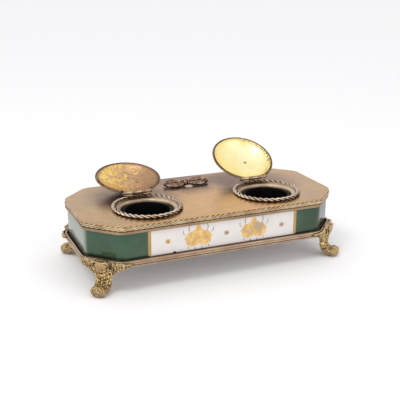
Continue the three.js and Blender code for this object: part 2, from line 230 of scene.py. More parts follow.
def octagon_ring(inset, rounding, arc_steps=5, side_steps=6):
    """Points of a rounded octagon and their outward directions, always in the same number."""
    corners = octagon_corners(inset)
    reach = rounding * tan(radians(22.5))
    points, normals = [], []
    for index in range(8):
        before, corner, after = corners[index - 1], corners[index], corners[(index + 1) % 8]
        to_before = (before - corner) / np.linalg.norm(before - corner)
        to_after = (after - corner) / np.linalg.norm(after - corner)
        start, end = corner + to_before * reach, corner + to_after * reach
        x, y = -to_before[1], to_before[0]
        centre = start - np.array([x, y]) * rounding
        for step in range(arc_steps + 1):
            turn = radians(45) * step / arc_steps
            c, s = cos(turn), sin(turn)
            normal = np.array([c * x - s * y, s * x + c * y])
            points.append(centre + normal * rounding)
            normals.append(normal)
        next_start = after - to_after * reach
        for step in range(1, side_steps):
            share = step / side_steps
            points.append(end * (1 - share) + next_start * share)
            normals.append(normal)
    return np.array(points) + np.array([0, CENTRE_Y]), np.array(normals)


def moulding(profile, side_steps=6):
    """A closed moulding round the octagon; the profile is a closed list of (inset, height)."""
    rings = []
    for inset, height in profile:
        rounding = max(CORNER_ROUNDING - inset * 0.5, 0.3 * MM)
        ring, _ = octagon_ring(inset, rounding, side_steps=side_steps)
        rings.append(np.column_stack([ring, np.full(len(ring), height)]))
    return loft(rings, True)


# ---------- twisted wire ----------
def strand_outline(strands, sides):
    """Radius of a bundle of round strands at each angle, the outermost radius being 1."""
    strand = sin(pi / strands) / (1 + sin(pi / strands))
    offset = 1 - strand
    radii = []
    for angle in round_angles(sides):
        near = (angle + pi / strands) % (TAU / strands) - pi / strands
        inner = max(strand ** 2 - (offset * sin(near)) ** 2, 0)
        radii.append(offset * cos(near) + sqrt(inner))
    return radii


def resample(points, normals, spacing):
    """Evenly spaced points and directions along a closed path, their distances and its length."""
    closed = np.vstack([points, points[:1]])
    turns = np.vstack([normals, normals[:1]])
    along = np.concatenate([[0], np.cumsum(np.linalg.norm(np.diff(closed, axis=0), axis=1))])
    count = int(round(along[-1] / spacing))
    wanted = np.arange(count) * along[-1] / count
    even, even_normals = (
        np.column_stack([np.interp(wanted, along, line[:, k]) for k in range(2)]) for line in (closed, turns)
    )
    return even, unit(even_normals), wanted, along[-1]


def twisted_wire(path, height, half_width, half_height, lay, closed=True, strands=2, sides=20):
    """A rope of wires along a flat path. lay is the length of one full turn."""
    points, normals, along, length = path
    outline = list(zip(round_angles(sides), strand_outline(strands, sides)))
    turns = max(1, round(length / lay))
    rings = []
    for point, normal, distance in zip(points, normals, along):
        twist = TAU * turns * distance / length
        ring = []
        for angle, radius in outline:
            out = half_width * radius * cos(angle + twist)
            up = half_height * radius * sin(angle + twist)
            ring.append((point[0] + normal[0] * out, point[1] + normal[1] * out, height + up))
        rings.append(ring)
    return loft(rings, closed)


def circle_path(centre, radius, spacing, start=0.0, end=TAU):
    """Points round a circle; the angle starts at +Y and runs clockwise seen from above."""
    length = radius * (end - start)
    count = int(round(length / spacing))
    closed = end - start > TAU - 1e-6
    steps = np.arange(count) / (count if closed else count - 1)
    angles = pi / 2 - (start + (end - start) * steps)
    normals = np.column_stack([np.cos(angles), np.sin(angles)])
    return np.array(centre) + radius * normals, normals, steps * length, length


# ---------- turned pieces ----------
def turned(profile, centre, segments=128):
    """A lathe shape round a vertical axis; the profile is an open list of (radius, height).
    Points on the axis close it; otherwise the profile is joined end to start."""
    on_axis = profile[0][0] == 0 and profile[-1][0] == 0
    inner = profile[1:-1] if on_axis else profile
    x, y = centre
    angles = round_angles(segments)
    rings = [
        np.column_stack([x + radius * np.cos(angles), y + radius * np.sin(angles), np.full(segments, height)])
        for radius, height in inner
    ]
    points = np.array(rings).reshape(-1, 3)
    faces = grid_faces(len(inner), segments, not on_axis)
    if on_axis:
        last = (len(inner) - 1) * segments
        points = np.vstack([points, [x, y, profile[0][1]], [x, y, profile[-1][1]]])
        first_pole, last_pole = len(points) - 2, len(points) - 1
        for index in range(segments):
            following = (index + 1) % segments
            faces.append((first_pole, following, index))
            faces.append((last_pole, last + index, last + following))
    return points, faces


def turned_along_x(profile, sides):
    """A lathe shape round the X axis; the profile is a list of (x, radius)."""
    angles = round_angles(sides)
    return loft([
        np.column_stack([np.full(sides, x), radius * np.cos(angles), radius * np.sin(angles)])
        for x, radius in profile
    ], False)


def globe(place, rows, columns):
    """A closed skin with its poles along Y; place gives the point at a polar angle and a round one."""
    rings = []
    for row in range(1, rows):
        polar = pi * row / rows
        rings.append([place(polar, angle) for angle in round_angles(columns)])
    return loft(rings, False)


def ball(centre, radii, rows=12, columns=20):
    """A ball or an egg."""
    def place(polar, angle):
        x = centre[0] + radii[0] * sin(polar) * cos(angle)
        z = centre[2] + radii[2] * sin(polar) * sin(angle)
        return (x, centre[1] - radii[1] * cos(polar), z)

    return globe(place, rows, columns)


def ease(value, low, high):
    """0 below low, 1 above high and smooth between."""
    share = min(1, max(0, (value - low) / (high - low)))
    return share * share * (3 - 2 * share)


# ---------- materials ----------
def linear(colour):
    """A linear colour from (red, green, blue) as displayed, 0 to 255; a node's output stays as it is."""
    if hasattr(colour, "is_output"):
        return colour
    return (*(((c / 255 + 0.055) / 1.055) ** 2.4 if c > 10 else c / 255 / 12.92 for c in colour), 1.0)


class Nodes:
    """Short calls for building one material's node tree. body is the colour so far."""

    def __init__(self, name, **uniform):
        self.material = bpy.data.materials.new(name)
        self.material.use_nodes = True
        self.tree = self.material.node_tree
        self.tree.nodes.clear()
        output = self.tree.nodes.new("ShaderNodeOutputMaterial")
        self.shader = self.tree.nodes.new("ShaderNodeBsdfPrincipled")
        self.feed(output, 0, self.shader.outputs[0])
        self.body = None
        for socket, value in uniform.items():
            self.feed(self.shader, socket.replace("_", " "), value)
        self.place = self.add("TexCoord", "Object", {})

    def feed(self, node, socket, value):
        if hasattr(value, "is_output"):
            self.tree.links.new(value, node.inputs[socket])
        else:
            node.inputs[socket].default_value = value

    def add(self, kind, result, inputs, **settings):
        """Adds a node, feeds its inputs and returns the output called `result`."""
        node = self.tree.nodes.new("ShaderNode" + kind)
        for name, value in settings.items():
            setattr(node, name, value)
        for socket, value in inputs.items():
            self.feed(node, socket, value)
        return node.outputs[result]

    def noise(self, size, detail, rough, distortion=0.0, offset=(0, 0, 0)):
        """Noise whose features are about `size` metres across."""
        place = self.add("Mapping", "Vector", {"Location": offset, "Vector": self.place})
        inputs = {"Scale": 1 / size, "Detail": detail, "Roughness": rough, "Distortion": distortion}
        return self.add("TexNoise", "Fac", {"Vector": place, **inputs})

    def cells(self, size):
        """Distance to the nearest of scattered points, for pits and specks."""
        place = self.add("Mapping", "Vector", {"Vector": self.place})
        return self.add("TexVoronoi", "Distance", {"Scale": 1 / size, "Vector": place})

    def ramp(self, value, low, high, start=0.0, end=1.0):
        """Maps low..high to start..end with clamping."""
        inputs = {"Value": value, "From Min": low, "From Max": high, "To Min": start, "To Max": end}
        return self.add("MapRange", "Result", inputs, interpolation_type="SMOOTHSTEP")

    def math(self, operation, *values):
        return self.add("Math", 0, dict(enumerate(values)), operation=operation)

    def axis(self, name):
        return self.add("SeparateXYZ", name, {0: self.place})

    def mix(self, share, first, second):
        inputs = {"Factor": share, "A": linear(first), "B": linear(second)}
        return self.add("Mix", "Result", inputs, data_type="RGBA")

    def lay(self, share, colour, strength=None):
        """Lays a colour over the body colour, by a share from 0 to 1."""
        if strength is not None:
            share = self.math("MULTIPLY", share, strength)
        self.body = self.mix(share, self.body, colour)

    def hollows(self, reach):
        """1 in recesses narrower than `reach`, 0 on open surfaces."""
        openness = self.add("AmbientOcclusion", "AO", {"Distance": reach}, samples=8)
        return self.ramp(openness, 0.35, 0.95, 1.0, 0.0)

    def creases(self, deep, open_surface):
        """1 along concave folds of a dense mesh, 0 on open surfaces."""
        return self.ramp(self.add("NewGeometry", "Pointiness", {}), deep, open_surface, 1.0, 0.0)

    def near(self, centre, radius, softness):
        """1 within `radius` of a point, fading to 0."""
        distance = self.add("VectorMath", "Value", {0: self.place, 1: centre}, operation="DISTANCE")
        return self.ramp(distance, radius, radius + softness, 1.0, 0.0)

    def finish(self, roughness, height, depth):
        """Connects the colour, the roughness and a bump `depth` metres deep."""
        bump = self.add("Bump", "Normal", {"Distance": depth, "Height": height})
        self.feed(self.shader, "Base Color", self.body)
        self.feed(self.shader, "Roughness", roughness)
        self.feed(self.shader, "Normal", bump)
        return self.material


def aged_metal(name, light, tint, dark, roughness, patch=14 * MM, grime_and_shade_reach=1.2 * MM):
    """Brass with patches of tarnish, dirt and painted shade darkening its recesses, and a finely scuffed
    surface.
    """
    nodes = Nodes(name, Metallic=1.0)
    patches = nodes.ramp(nodes.noise(patch, 4, 0.6, distortion=0.4), 0.38, 0.64)
    nodes.body = nodes.mix(patches, light, tint)
    fine = nodes.ramp(nodes.noise(0.9 * MM, 4, 0.65), 0.3, 0.75)
    nodes.lay(fine, dark, 0.3)
    # Darker in recesses: part dirt, part painted shade.
    grime_and_shade = nodes.math("MULTIPLY", nodes.hollows(grime_and_shade_reach), 0.92)
    nodes.lay(grime_and_shade, dark)
    scuffed = nodes.math("MULTIPLY_ADD", fine, 0.16, roughness - 0.06)
    rough = nodes.math("ADD", scuffed, nodes.math("MULTIPLY", grime_and_shade, 0.25))
    return nodes.finish(rough, nodes.noise(0.6 * MM, 5, 0.6), 0.05 * MM)


def mottled(name, grain, edges, colours, roughness, depth, **uniform):
    """A plain coat of two mottled colours; grain is the size, detail and roughness of its noise."""
    nodes = Nodes(name, **uniform)
    mottle = nodes.noise(*grain)
    nodes.body = nodes.mix(nodes.ramp(mottle, *edges), *colours)
    return nodes.finish(nodes.ramp(mottle, 0.3, 0.7, *roughness), mottle, depth)


def leg_gilding():
    """Worn gilding over a dark casting, with a smooth rosy shield."""
    nodes = Nodes("cast_gilt", Metallic=1.0)
    patches = nodes.ramp(nodes.noise(6 * MM, 4, 0.6, distortion=0.3), 0.4, 0.62)
    nodes.body = nodes.mix(patches, (250, 220, 158), (222, 194, 142))
    dull_wings = nodes.ramp(nodes.axis("Z"), 15 * MM, 20 * MM, 0.0, 0.5)
    nodes.lay(dull_wings, (176, 156, 128))
    shield_place = Matrix.Rotation(LEG_TURN, 3, "Z") @ Vector((6.5, 0, 21)) * MM
    nodes.lay(nodes.near(shield_place, 3.6 * MM, 1.4 * MM), (198, 162, 120))
    dull_toes = nodes.ramp(nodes.axis("Z"), 6 * MM, 11 * MM, 0.6, 0.0)
    nodes.lay(dull_toes, (164, 140, 104))
    worn = nodes.ramp(nodes.noise(1.1 * MM, 4, 0.65), 0.42, 0.68, 0.0, 0.5)
    nodes.lay(worn, (124, 96, 56))
    # Darker in the hollows and creases of the carving: part dirt, part painted shade.
    recess = nodes.math("MAXIMUM", nodes.hollows(1.3 * MM), nodes.creases(0.46, 0.505))
    grime_and_shade = nodes.math("MULTIPLY", recess, 0.93)
    nodes.lay(grime_and_shade, (68, 46, 22))
    rough = nodes.ramp(patches, 0, 1, 0.32, 0.42)
    rough = nodes.math("ADD", rough, nodes.math("MULTIPLY", grime_and_shade, 0.3))
    return nodes.finish(rough, nodes.noise(0.5 * MM, 5, 0.6), 0.05 * MM)


def plate_brass():
    """The tan sheet of the top: satin, with rosy clouds, and painted shade and dark reflections round what
    stands on it.
    """
    nodes = Nodes("plate_brass", Metallic=1.0)
    rosy = nodes.ramp(nodes.noise(45 * MM, 3, 0.5, distortion=0.6), 0.42, 0.62)
    nodes.body = nodes.mix(rosy, (186, 157, 113), (196, 157, 111))
    # More orange round the middle of the plate.
    orange_middle = nodes.near((5 * MM, CENTRE_Y - 14 * MM, PLATE_TOP), 22 * MM, 50 * MM)
    nodes.lay(orange_middle, (212, 166, 112))
    yellow_end = nodes.ramp(nodes.axis("X"), 40 * MM, 90 * MM, 0.0, 0.6)
    nodes.lay(yellow_end, (194, 156, 106))
    dusky = nodes.ramp(nodes.noise(60 * MM, 4, 0.55, offset=(0.3, 0.1, 0)), 0.5, 0.72)
    nodes.lay(dusky, (176, 146, 126), 0.5)
    mottle = nodes.noise(7 * MM, 2, 0.5)
    nodes.lay(nodes.ramp(mottle, 0.35, 0.8, 0.0, 0.14), (160, 124, 92))
    specks = nodes.ramp(nodes.cells(9 * MM), 0.05, 0.1, 1.0, 0.0)
    nodes.lay(specks, (140, 108, 84), 0.25)
    # Painted shade and dark reflections on the plate behind the pen rest and round the lid hinges.
    low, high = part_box("pen_rest")
    shade_round_fittings = nodes.near(((low.x + high.x) / 2, high.y, PLATE_TOP), 14 * MM, 26 * MM)
    for side in SIDES:
        x, y, _ = JOINTS[f"{side}_lid_hinge"]["pos_m"]
        shade_round_fittings = nodes.math("MAXIMUM", shade_round_fittings, nodes.near((x, y + 6 * MM, PLATE_TOP), 18 * MM, 28 * MM))
    nodes.lay(shade_round_fittings, (110, 80, 68), 0.78)
    # Painted dark reflection of the right lid's back, with its shade, on the plate beside its hinge.
    x, y, _ = JOINTS["right_lid_hinge"]["pos_m"]
    beside = nodes.near((x - 15 * MM, y + 22 * MM, PLATE_TOP), 9 * MM, 14 * MM)
    nodes.lay(beside, (104, 66, 46), 0.65)
    # Painted shade in the corners where things stand on the plate.
    nodes.lay(nodes.hollows(2.5 * MM), (86, 62, 48), 0.7)
    rough = nodes.ramp(mottle, 0.3, 0.75, 0.24, 0.32)
    return nodes.finish(rough, nodes.noise(9 * MM, 2, 0.5), 0.012 * MM)


def porcelain_glaze():
    """Green glaze with a white panel on the front; painted shade and dark reflections darken its foot, most
    at the cut corners, painted shade darkens its right end and a painted reflection lightens its left end
    face.
    """
    nodes = Nodes("porcelain_glaze", IOR=1.52)
    x = nodes.math("ABSOLUTE", nodes.axis("X"))
    y = nodes.axis("Y")
    inside = nodes.ramp(x, PANEL_HALF - 0.1 * MM, PANEL_HALF + 0.1 * MM, 1.0, 0.0)
    front = nodes.ramp(y, FRONT_FACE_Y + 1.5 * MM, FRONT_FACE_Y + 2.5 * MM, 1.0, 0.0)
    panel = nodes.math("MULTIPLY", inside, front)
    cloud = nodes.noise(16 * MM, 4, 0.6)
    nodes.body = nodes.mix(nodes.ramp(cloud, 0.35, 0.7), (44, 74, 48), (54, 84, 58))
    height = nodes.axis("Z")
    bluish = nodes.ramp(height, PORCELAIN_HIGH.z - 6 * MM, PORCELAIN_HIGH.z, 0.0, 0.6)
    nodes.lay(bluish, (34, 82, 72))
    dusty = nodes.ramp(nodes.noise(1.2 * MM, 4, 0.7), 0.62, 0.8, 0.0, 0.25)
    nodes.lay(dusty, (118, 132, 112))
    white = nodes.mix(nodes.ramp(cloud, 0.4, 0.7), (226, 220, 217), (219, 214, 211))
    # Painted shade: darker towards the right end, which faces darker surroundings.
    right_end_shade = nodes.ramp(nodes.axis("X"), 55 * MM, 80 * MM, 0.0, 0.7)
    nodes.lay(right_end_shade, (14, 46, 24))
    # Painted reflection: the left end face paler, as its glaze reflects the bright surroundings at a grazing
    # angle.
    end = PORCELAIN_LOW.x
    left_end_reflection = nodes.ramp(nodes.axis("X"), end + 0.3 * MM, end + 1.4 * MM, 0.9, 0.0)
    nodes.lay(left_end_reflection, (124, 134, 124))
    # Painted shade and dark reflections of the rail and legs low on the glaze, strongest at the cut corners.
    corner = HALF_LENGTH - CORNER_CUT
    cut_corner = nodes.ramp(x, corner, corner + 4 * MM, 0.55, 1.0)
    foot = PORCELAIN_LOW.z
    foot_shade = nodes.ramp(height, foot + 0.2 * MM, foot + 3.4 * MM, 1.0, 0.0)
    nodes.lay(foot_shade, (10, 22, 16), cut_corner)
    nodes.lay(panel, white)
    chip = nodes.near((-39 * MM, FRONT_FACE_Y, foot + 0.2 * MM), 1.1 * MM, 0.5 * MM)
    nodes.lay(chip, (58, 40, 28))
    rough = nodes.ramp(cloud, 0.3, 0.7, 0.07, 0.16)
    rough = nodes.math("ADD", rough, nodes.math("MULTIPLY", chip, 0.5))
    return nodes.finish(rough, nodes.noise(5 * MM, 3, 0.5), 0.05 * MM)


def gilt_paint():
    """Painted gilding on the porcelain, rubbed thin in places."""
    nodes = Nodes("gilt_paint", Metallic=0.85)
    mottle = nodes.noise(3.2 * MM, 5, 0.65)
    nodes.body = nodes.mix(nodes.ramp(mottle, 0.35, 0.65), (208, 168, 108), (240, 204, 134))
    rubbed = nodes.ramp(nodes.noise(7 * MM, 4, 0.6, offset=(0.1, 0, 0.2)), 0.54, 0.7, 0.0, 0.5)
    for x, z, size in (
        (PAINT_X + ORNAMENT_X + 3.8 * MM, ORNAMENT_Z + 2.9 * MM, 2.2 * MM),
        (PAINT_X + DOT_X, DOT_Z, 2.2 * MM),
        (PAINT_X, DOT_Z, 0.2 * MM),
    ):
        patch = nodes.near((x, FRONT_FACE_Y, z), size, 4.4 * MM)
        patch = nodes.math("MULTIPLY", patch, nodes.ramp(mottle, 0.3, 0.55, 0.75, 1.0))
        rubbed = nodes.math("MAXIMUM", rubbed, nodes.math("MULTIPLY", patch, 0.95))
    nodes.lay(rubbed, (186, 164, 140))
    x = nodes.math("ABSOLUTE", nodes.axis("X"))
    panel_line = nodes.ramp(x, PANEL_HALF - 4 * MM, PANEL_HALF - 3 * MM, 0.0, 0.75)
    nodes.lay(panel_line, (168, 138, 82))
    rough = nodes.ramp(mottle, 0.3, 0.7, 0.32, 0.5)
    return nodes.finish(rough, nodes.noise(0.8 * MM, 4, 0.6), 0.03 * MM)


def thin_gilt():
    """The faint fringe where the gilding thins out over the white glaze."""
    colours = ((232, 210, 176), (216, 190, 150))
    return mottled("thin_gilt", (1.2 * MM, 4, 0.65), (0.4, 0.6), colours, (0.3, 0.5), 0.02 * MM, Metallic=0.3)


def umber_paint():
    """The thin brown lines beside the gilding."""
    colours = ((104, 76, 60), (150, 122, 110))
    return mottled("umber_paint", (1.5 * MM, 4, 0.6), (0.35, 0.65), colours, (0.35, 0.55), 0.02 * MM)


def ink_and_shade_black():
    """The cup's glaze under years of dried ink, made near black as painted shade deep in the well."""
    grain, colours = (2 * MM, 5, 0.65), ((2, 2, 3), (7, 6, 6))
    return mottled("ink_and_shade_black", grain, (0.4, 0.7), colours, (0.35, 0.7), 0.1 * MM, Specular_IOR_Level=0.1)


def pitch_and_gap_shade():
    """Dark filler that beds the porcelain in its rail, coloured as painted shade of the gap: brown in front,
    black at the ends.
    """
    nodes = Nodes("pitch_and_gap_shade", Specular_IOR_Level=0.1)
    crust = nodes.noise(1.5 * MM, 5, 0.65)
    black = nodes.mix(nodes.ramp(crust, 0.4, 0.7), (16, 13, 10), (34, 28, 22))
    # Black towards the ends: painted shade of the deep gap there.
    ends = nodes.ramp(nodes.math("ABSOLUTE", nodes.axis("X")), 56 * MM, 72 * MM)
    nodes.body = nodes.mix(ends, (112, 88, 68), black)
    return nodes.finish(nodes.ramp(crust, 0.3, 0.7, 0.7, 0.95), crust, 0.15 * MM)


def polished_gilding():
    """Inside of the right lid: gilding with a painted highlight over its middle, a few dark spots and a worn
    edge.
    """
    nodes = Nodes("polished_gilding", Metallic=1.0)
    centre = (0, 0, LID_BASE)
    mottle = nodes.noise(12 * MM, 3, 0.5)
    # Painted highlight: the middle of the bowl lighter than its edge.
    centre_highlight = nodes.mix(nodes.ramp(mottle, 0.35, 0.65), (254, 240, 178), (255, 246, 198))
    nodes.body = nodes.mix(nodes.near(centre, 16 * MM, 9 * MM), (250, 230, 160), centre_highlight)
    worn = nodes.ramp(nodes.noise(2.2 * MM, 5, 0.7, offset=(0.2, 0.3, 0)), 0.5, 0.6, 0.0, 0.9)
    edge = nodes.math("SUBTRACT", 1.0, nodes.near(centre, LID_RADIUS - 3.2 * MM, 2 * MM))
    right_edge = nodes.math("MULTIPLY", edge, nodes.ramp(nodes.axis("X"), 2 * MM, 16 * MM))
    nodes.lay(worn, (120, 88, 48), right_edge)
    for x, y, size in ((5, -2, 0.45), (13, 9, 0.6)):
        spot = (x * MM, y * MM, LID_BASE + LID_HEIGHT - 2.2 * MM)
        nodes.lay(nodes.near(spot, size * MM, 1.6 * MM), (120, 96, 52))
    rough = nodes.ramp(mottle, 0.3, 0.7, 0.36, 0.42)
    return nodes.finish(rough, nodes.noise(6 * MM, 4, 0.6), 0.05 * MM)


def tarnished_gilding():
    """Inside of the left lid: crinkled gilding, yellow on one side and rosy brown on the other."""
    nodes = Nodes("tarnished_gilding", Metallic=1.0)
    cloud = nodes.noise(9 * MM, 4, 0.6, distortion=0.5)
    nodes.body = nodes.mix(nodes.ramp(cloud, 0.35, 0.65), (220, 180, 130), (198, 160, 122))
    dull_side = nodes.ramp(nodes.axis("X"), 0, 20 * MM, 0.0, 0.85)
    nodes.lay(dull_side, (178, 142, 112))
    flakes = nodes.noise(6.5 * MM, 6, 0.65, distortion=1.4, offset=(0.4, 0, 0))
    coverage = nodes.math("ADD", flakes, nodes.ramp(nodes.axis("X"), -20 * MM, 18 * MM, 0.1, -0.12))
    nodes.lay(nodes.ramp(coverage, 0.49, 0.54), (240, 200, 116))
    nodes.lay(nodes.ramp(coverage, 0.6, 0.66, 0.0, 0.8), (252, 230, 150))
    scars = nodes.noise(2.4 * MM, 4, 0.7, offset=(0.1, 0.3, 0))
    nodes.lay(nodes.ramp(scars, 0.37, 0.45, 0.75, 0.0), (142, 100, 62))
    inner = nodes.near((0, 0, LID_BASE), LID_RADIUS - 1.6 * MM, 1.2 * MM)
    nodes.body = nodes.mix(inner, (150, 114, 90), nodes.body)
    rough = nodes.ramp(cloud, 0.3, 0.7, 0.28, 0.42)
    return nodes.finish(rough, nodes.noise(2.6 * MM, 5, 0.65), 0.4 * MM)


def pale_floor():
    """Pale paper, with a faint painted shadow where it lies under the object."""
    nodes = Nodes("pale_floor", Roughness=0.9, Specular_IOR_Level=0.1)
    nodes.body = nodes.mix(nodes.noise(60 * MM, 2, 0.5), (249, 248, 250), (251, 250, 252))
    # Faint painted shadow under the object.
    nodes.lay(nodes.near((0, 0, 0), 150 * MM, 900 * MM), (250, 249, 250))
    nodes.feed(nodes.shader, "Base Color", nodes.body)
    return nodes.material


# Each metal: its clean colour, its tarnish, the dark of its dirt and painted shade in recesses, its
# roughness, the size of its patches, and how wide a recess is darkened.
METAL_LOOKS = {
    "bronzed_wire": ((226, 208, 188), (202, 176, 152), (78, 58, 46), 0.34),
    "rope_brass": ((224, 202, 166), (186, 158, 126), (58, 40, 26), 0.34, 8 * MM, 1.9 * MM),
    "tan_band": ((176, 152, 118), (160, 130, 102), (80, 56, 38), 0.36, 22 * MM),
    "red_brass": ((196, 174, 148), (178, 146, 122), (86, 66, 52), 0.36, 22 * MM),
    "sleeve_brass": ((226, 204, 176), (208, 180, 152), (92, 70, 52), 0.32, 10 * MM, 1.6 * MM),
    "hinge_brass": ((214, 190, 152), (158, 130, 104), (66, 46, 34), 0.34, 4 * MM),
    # bow_bronze: its near-black dark, reaching wide, is painted shade between the wires.
    "bow_bronze": ((184, 150, 128), (112, 84, 68), (12, 6, 4), 0.24, 4 * MM, 3.6 * MM),
    "pale_patch": ((216, 208, 186), (196, 184, 156), (140, 122, 96), 0.45, 3 * MM),
    # lid_outside: darkened as painted shade, so that the plate under the lids reflects them dark.
    "lid_outside": ((150, 122, 88), (128, 98, 72), (62, 42, 28), 0.34, 16 * MM),
    "lid_edge": ((164, 138, 104), (138, 106, 78), (52, 36, 24), 0.34, 5 * MM),
    "tinned_underside": ((224, 222, 220), (206, 202, 198), (120, 112, 104), 0.45),
    "dull_steel": ((150, 146, 138), (128, 122, 112), (50, 44, 38), 0.45, 6 * MM),
}
METALS = {name: aged_metal(name, *look) for name, look in METAL_LOOKS.items()}
LID_INSIDES = {"left": tarnished_gilding(), "right": polished_gilding()}


def give(node, material):
    """A carried-over CAD node gets its material through its own slots."""
    for slot in frame["nodes"][node].material_slots:
        slot.material = material


# ---------- top, body and base ----------
def rounded_box_profile(outer, inner, bottom, top, radius):
    """Closed (inset, height) profile of a bar with rounded edges."""
    profile = arc((inner - radius, bottom + radius), radius, 270, 360, 5)
    profile += arc((inner - radius, top - radius), radius, 0, 90, 5)
    profile += arc((outer + radius, top - radius), radius, 90, 180, 5)
    profile += arc((outer + radius, bottom + radius), radius, 180, 270, 5)
    return profile


def rope_rim():
    """Five wires laid in a slow twist, reaching up over the edge of the plate."""
    lay, strands, spacing = 20 * MM, 5, 0.5 * MM
    half_width = (RIM_HIGH.z - RIM_LOW.z) / 2
    half_height = half_width + ROPE_OVERLAP / 2
    path = resample(*octagon_ring(half_width, CORNER_ROUNDING, arc_steps=10), spacing)
    middle = RIM_LOW.z + half_height
    shape = twisted_wire(path, middle, half_width, half_height, lay, strands=strands, sides=30)
    build("rope_rim_wire", shape, METALS["rope_brass"], "rope_rim")


def plate_outlines(inset):
    """The edge of the top plate and its two well holes."""
    outlines = [octagon_ring(inset, CORNER_ROUNDING, arc_steps=10)[0]]
    for side in SIDES:
        low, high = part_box(f"{side}_well_sleeve")
        x, y = well_centre(side)
        radius = (high.x - low.x) / 2 + 0.3 * MM
        outlines.append([
            (x + radius * cos(angle), y + radius * sin(angle)) for angle in round_angles(120)
        ])
    return outlines


def plate():
    """The top plate: a thin sheet with rounded corners, softened edges and its holes."""
    low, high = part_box("top_plate")
    edge = 0.3 * MM
    shape = bpy.data.curves.new("top_sheet", "CURVE")
    shape.dimensions = "2D"
    shape.fill_mode = "BOTH"
    for outline in plate_outlines(HALF_LENGTH - high.x + ROPE_OVERLAP / 2):
        spline = shape.splines.new("POLY")
        spline.points.add(len(outline) - 1)
        spline.points.foreach_set("co", [number for x, y in outline for number in (x, y, 0, 1)])
        spline.use_cyclic_u = True
    shape.offset = -edge
    shape.bevel_depth = edge
    shape.bevel_resolution = 3
    shape.extrude = (high.z - low.z) / 2 - edge
    pattern = new_object("top_sheet_outline", shape)
    bpy.context.view_layer.update()
    mesh = bpy.data.meshes.new_from_object(pattern.evaluated_get(bpy.context.evaluated_depsgraph_get()))
    bpy.data.objects.remove(pattern)
    mesh.transform(Matrix.Translation((0, 0, (high.z + low.z) / 2)))
    mesh.materials.clear()
    mesh.materials.append(plate_brass())
    assign(outward(new_object("top_sheet", mesh)), "stand", "top_plate")


def rim_band():
    low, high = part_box("rim_band")
    outer = HALF_LENGTH - high.x
    wall = rounded_box_profile(outer, outer + 3 * MM, low.z + 0.4 * MM, RIM_LOW.z, 0.45 * MM)
    build("rim_band_bar", moulding(wall), METALS["tan_band"], "rim_band")


def porcelain():
    outer = HALF_LENGTH - PORCELAIN_HIGH.x
    wall = rounded_box_profile(outer, outer + 5 * MM, PORCELAIN_LOW.z, PORCELAIN_HIGH.z, 1.1 * MM)
    build("porcelain_ring", moulding(wall, 16), porcelain_glaze(), "porcelain_body")


def base_rail():
    """The moulded rail: beads at the top, middle and bottom of its face, and a shelf inside."""
    low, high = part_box("base_rail")
    proud = HALF_LENGTH - high.x
    bottom, top = low.z, high.z
    shelf, floor_top = PORCELAIN_LOW.z - 0.3 * MM, bottom + 1.8 * MM
    bead = 0.7 * MM
    groove = top - 2.3 * MM
    profile = [(9 * MM, floor_top), (9 * MM, shelf), (2.5 * MM, shelf), (2.4 * MM, groove), (1 * MM, groove)]
    profile += arc((0.15 * MM, top - bead), bead, 10, 190, 9)
    profile += [(0, top - 1.7 * MM)]
    profile += arc((proud + bead, top - 2.4 * MM), bead, 110, 250, 7)
    profile += [(0.3 * MM, bottom + 1.45 * MM)]
    profile += arc((proud + bead + 0.3 * MM, bottom + bead), bead, 120, 270, 7)
    profile += [(7 * MM, bottom), (7.2 * MM, floor_top)]
    build("base_rail_moulding", moulding(profile), METALS["red_brass"], "base_rail")


def dark_gap_band():
    """The dark line in the gap between the rail and the porcelain, coloured as painted shade."""
    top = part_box("base_rail")[1].z
    profile = rounded_box_profile(1.05 * MM, 2.35 * MM, top - 2.2 * MM, top - 0.45 * MM, 0.3 * MM)
    build("porcelain_gap_band", moulding(profile), pitch_and_gap_shade())


# ---------- gilding of the front panel ----------
def decal(outline, thickness=0.07 * MM):
    """A thin raised shape on the front face; the outline is a list of (x, z)."""
    faces_y = (FRONT_FACE_Y - thickness, FRONT_FACE_Y + thickness)
    return loft([[(x, y, z) for x, z in outline] for y in faces_y], False)


def blob(centre, half_width, half_height, scallops=0, depth=0.0):
    """An oval outline, scalloped if asked."""
    outline = []
    for angle in round_angles(48):
        swell = 1 + depth * abs(cos(scallops * angle / 2)) - depth / 2
        u = half_width * swell * cos(angle)
        outline.append((centre[0] + u, centre[1] + half_height * swell * sin(angle)))
    return outline


def stroke(points, width):
    """A tapering brush stroke along a short list of (x, z)."""
    line = np.array(points, float)
    along = np.linspace(0, len(line) - 1, 14)
    smooth = np.column_stack([np.interp(along, range(len(line)), line[:, k]) for k in range(2)])
    heading = unit(np.gradient(smooth, axis=0))
    sideways = np.column_stack([-heading[:, 1], heading[:, 0]])
    taper = (0.25 + 0.75 * np.sin(np.linspace(0.25, 2.8, len(along))))[:, None] * width / 2
    return np.vstack([smooth + sideways * taper, (smooth - sideways * taper)[::-1]])


def bell(angle, middle, width):
    """A smooth hump round one direction."""
    away = (angle - middle + pi) % TAU - pi
    return exp(-(away / width) ** 2)


def ornament_outline(x, grow=0.0):
    """Two round lobes that meet in the middle, a scalloped hem and a tapering stem above."""
    lobe_centre, lobe_radius = 4.9, 5.1
    up = pi / 2
    outline = []
    for angle in round_angles(180):
        radius = lobe_centre * abs(cos(angle))
        radius += sqrt(lobe_radius ** 2 - (lobe_centre * sin(angle)) ** 2)
        radius += 1.7 * bell(angle, -up, 0.4)
        radius += 4.2 * bell(angle, up, 0.52) + 4.6 * bell(angle, up, 0.24)
        radius += grow + 0.34 * cos(13 * angle + x / MM) + 0.18 * sin(29 * angle)
        outline.append((x + radius * MM * cos(angle), ORNAMENT_Z + radius * MM * sin(angle)))
    return outline


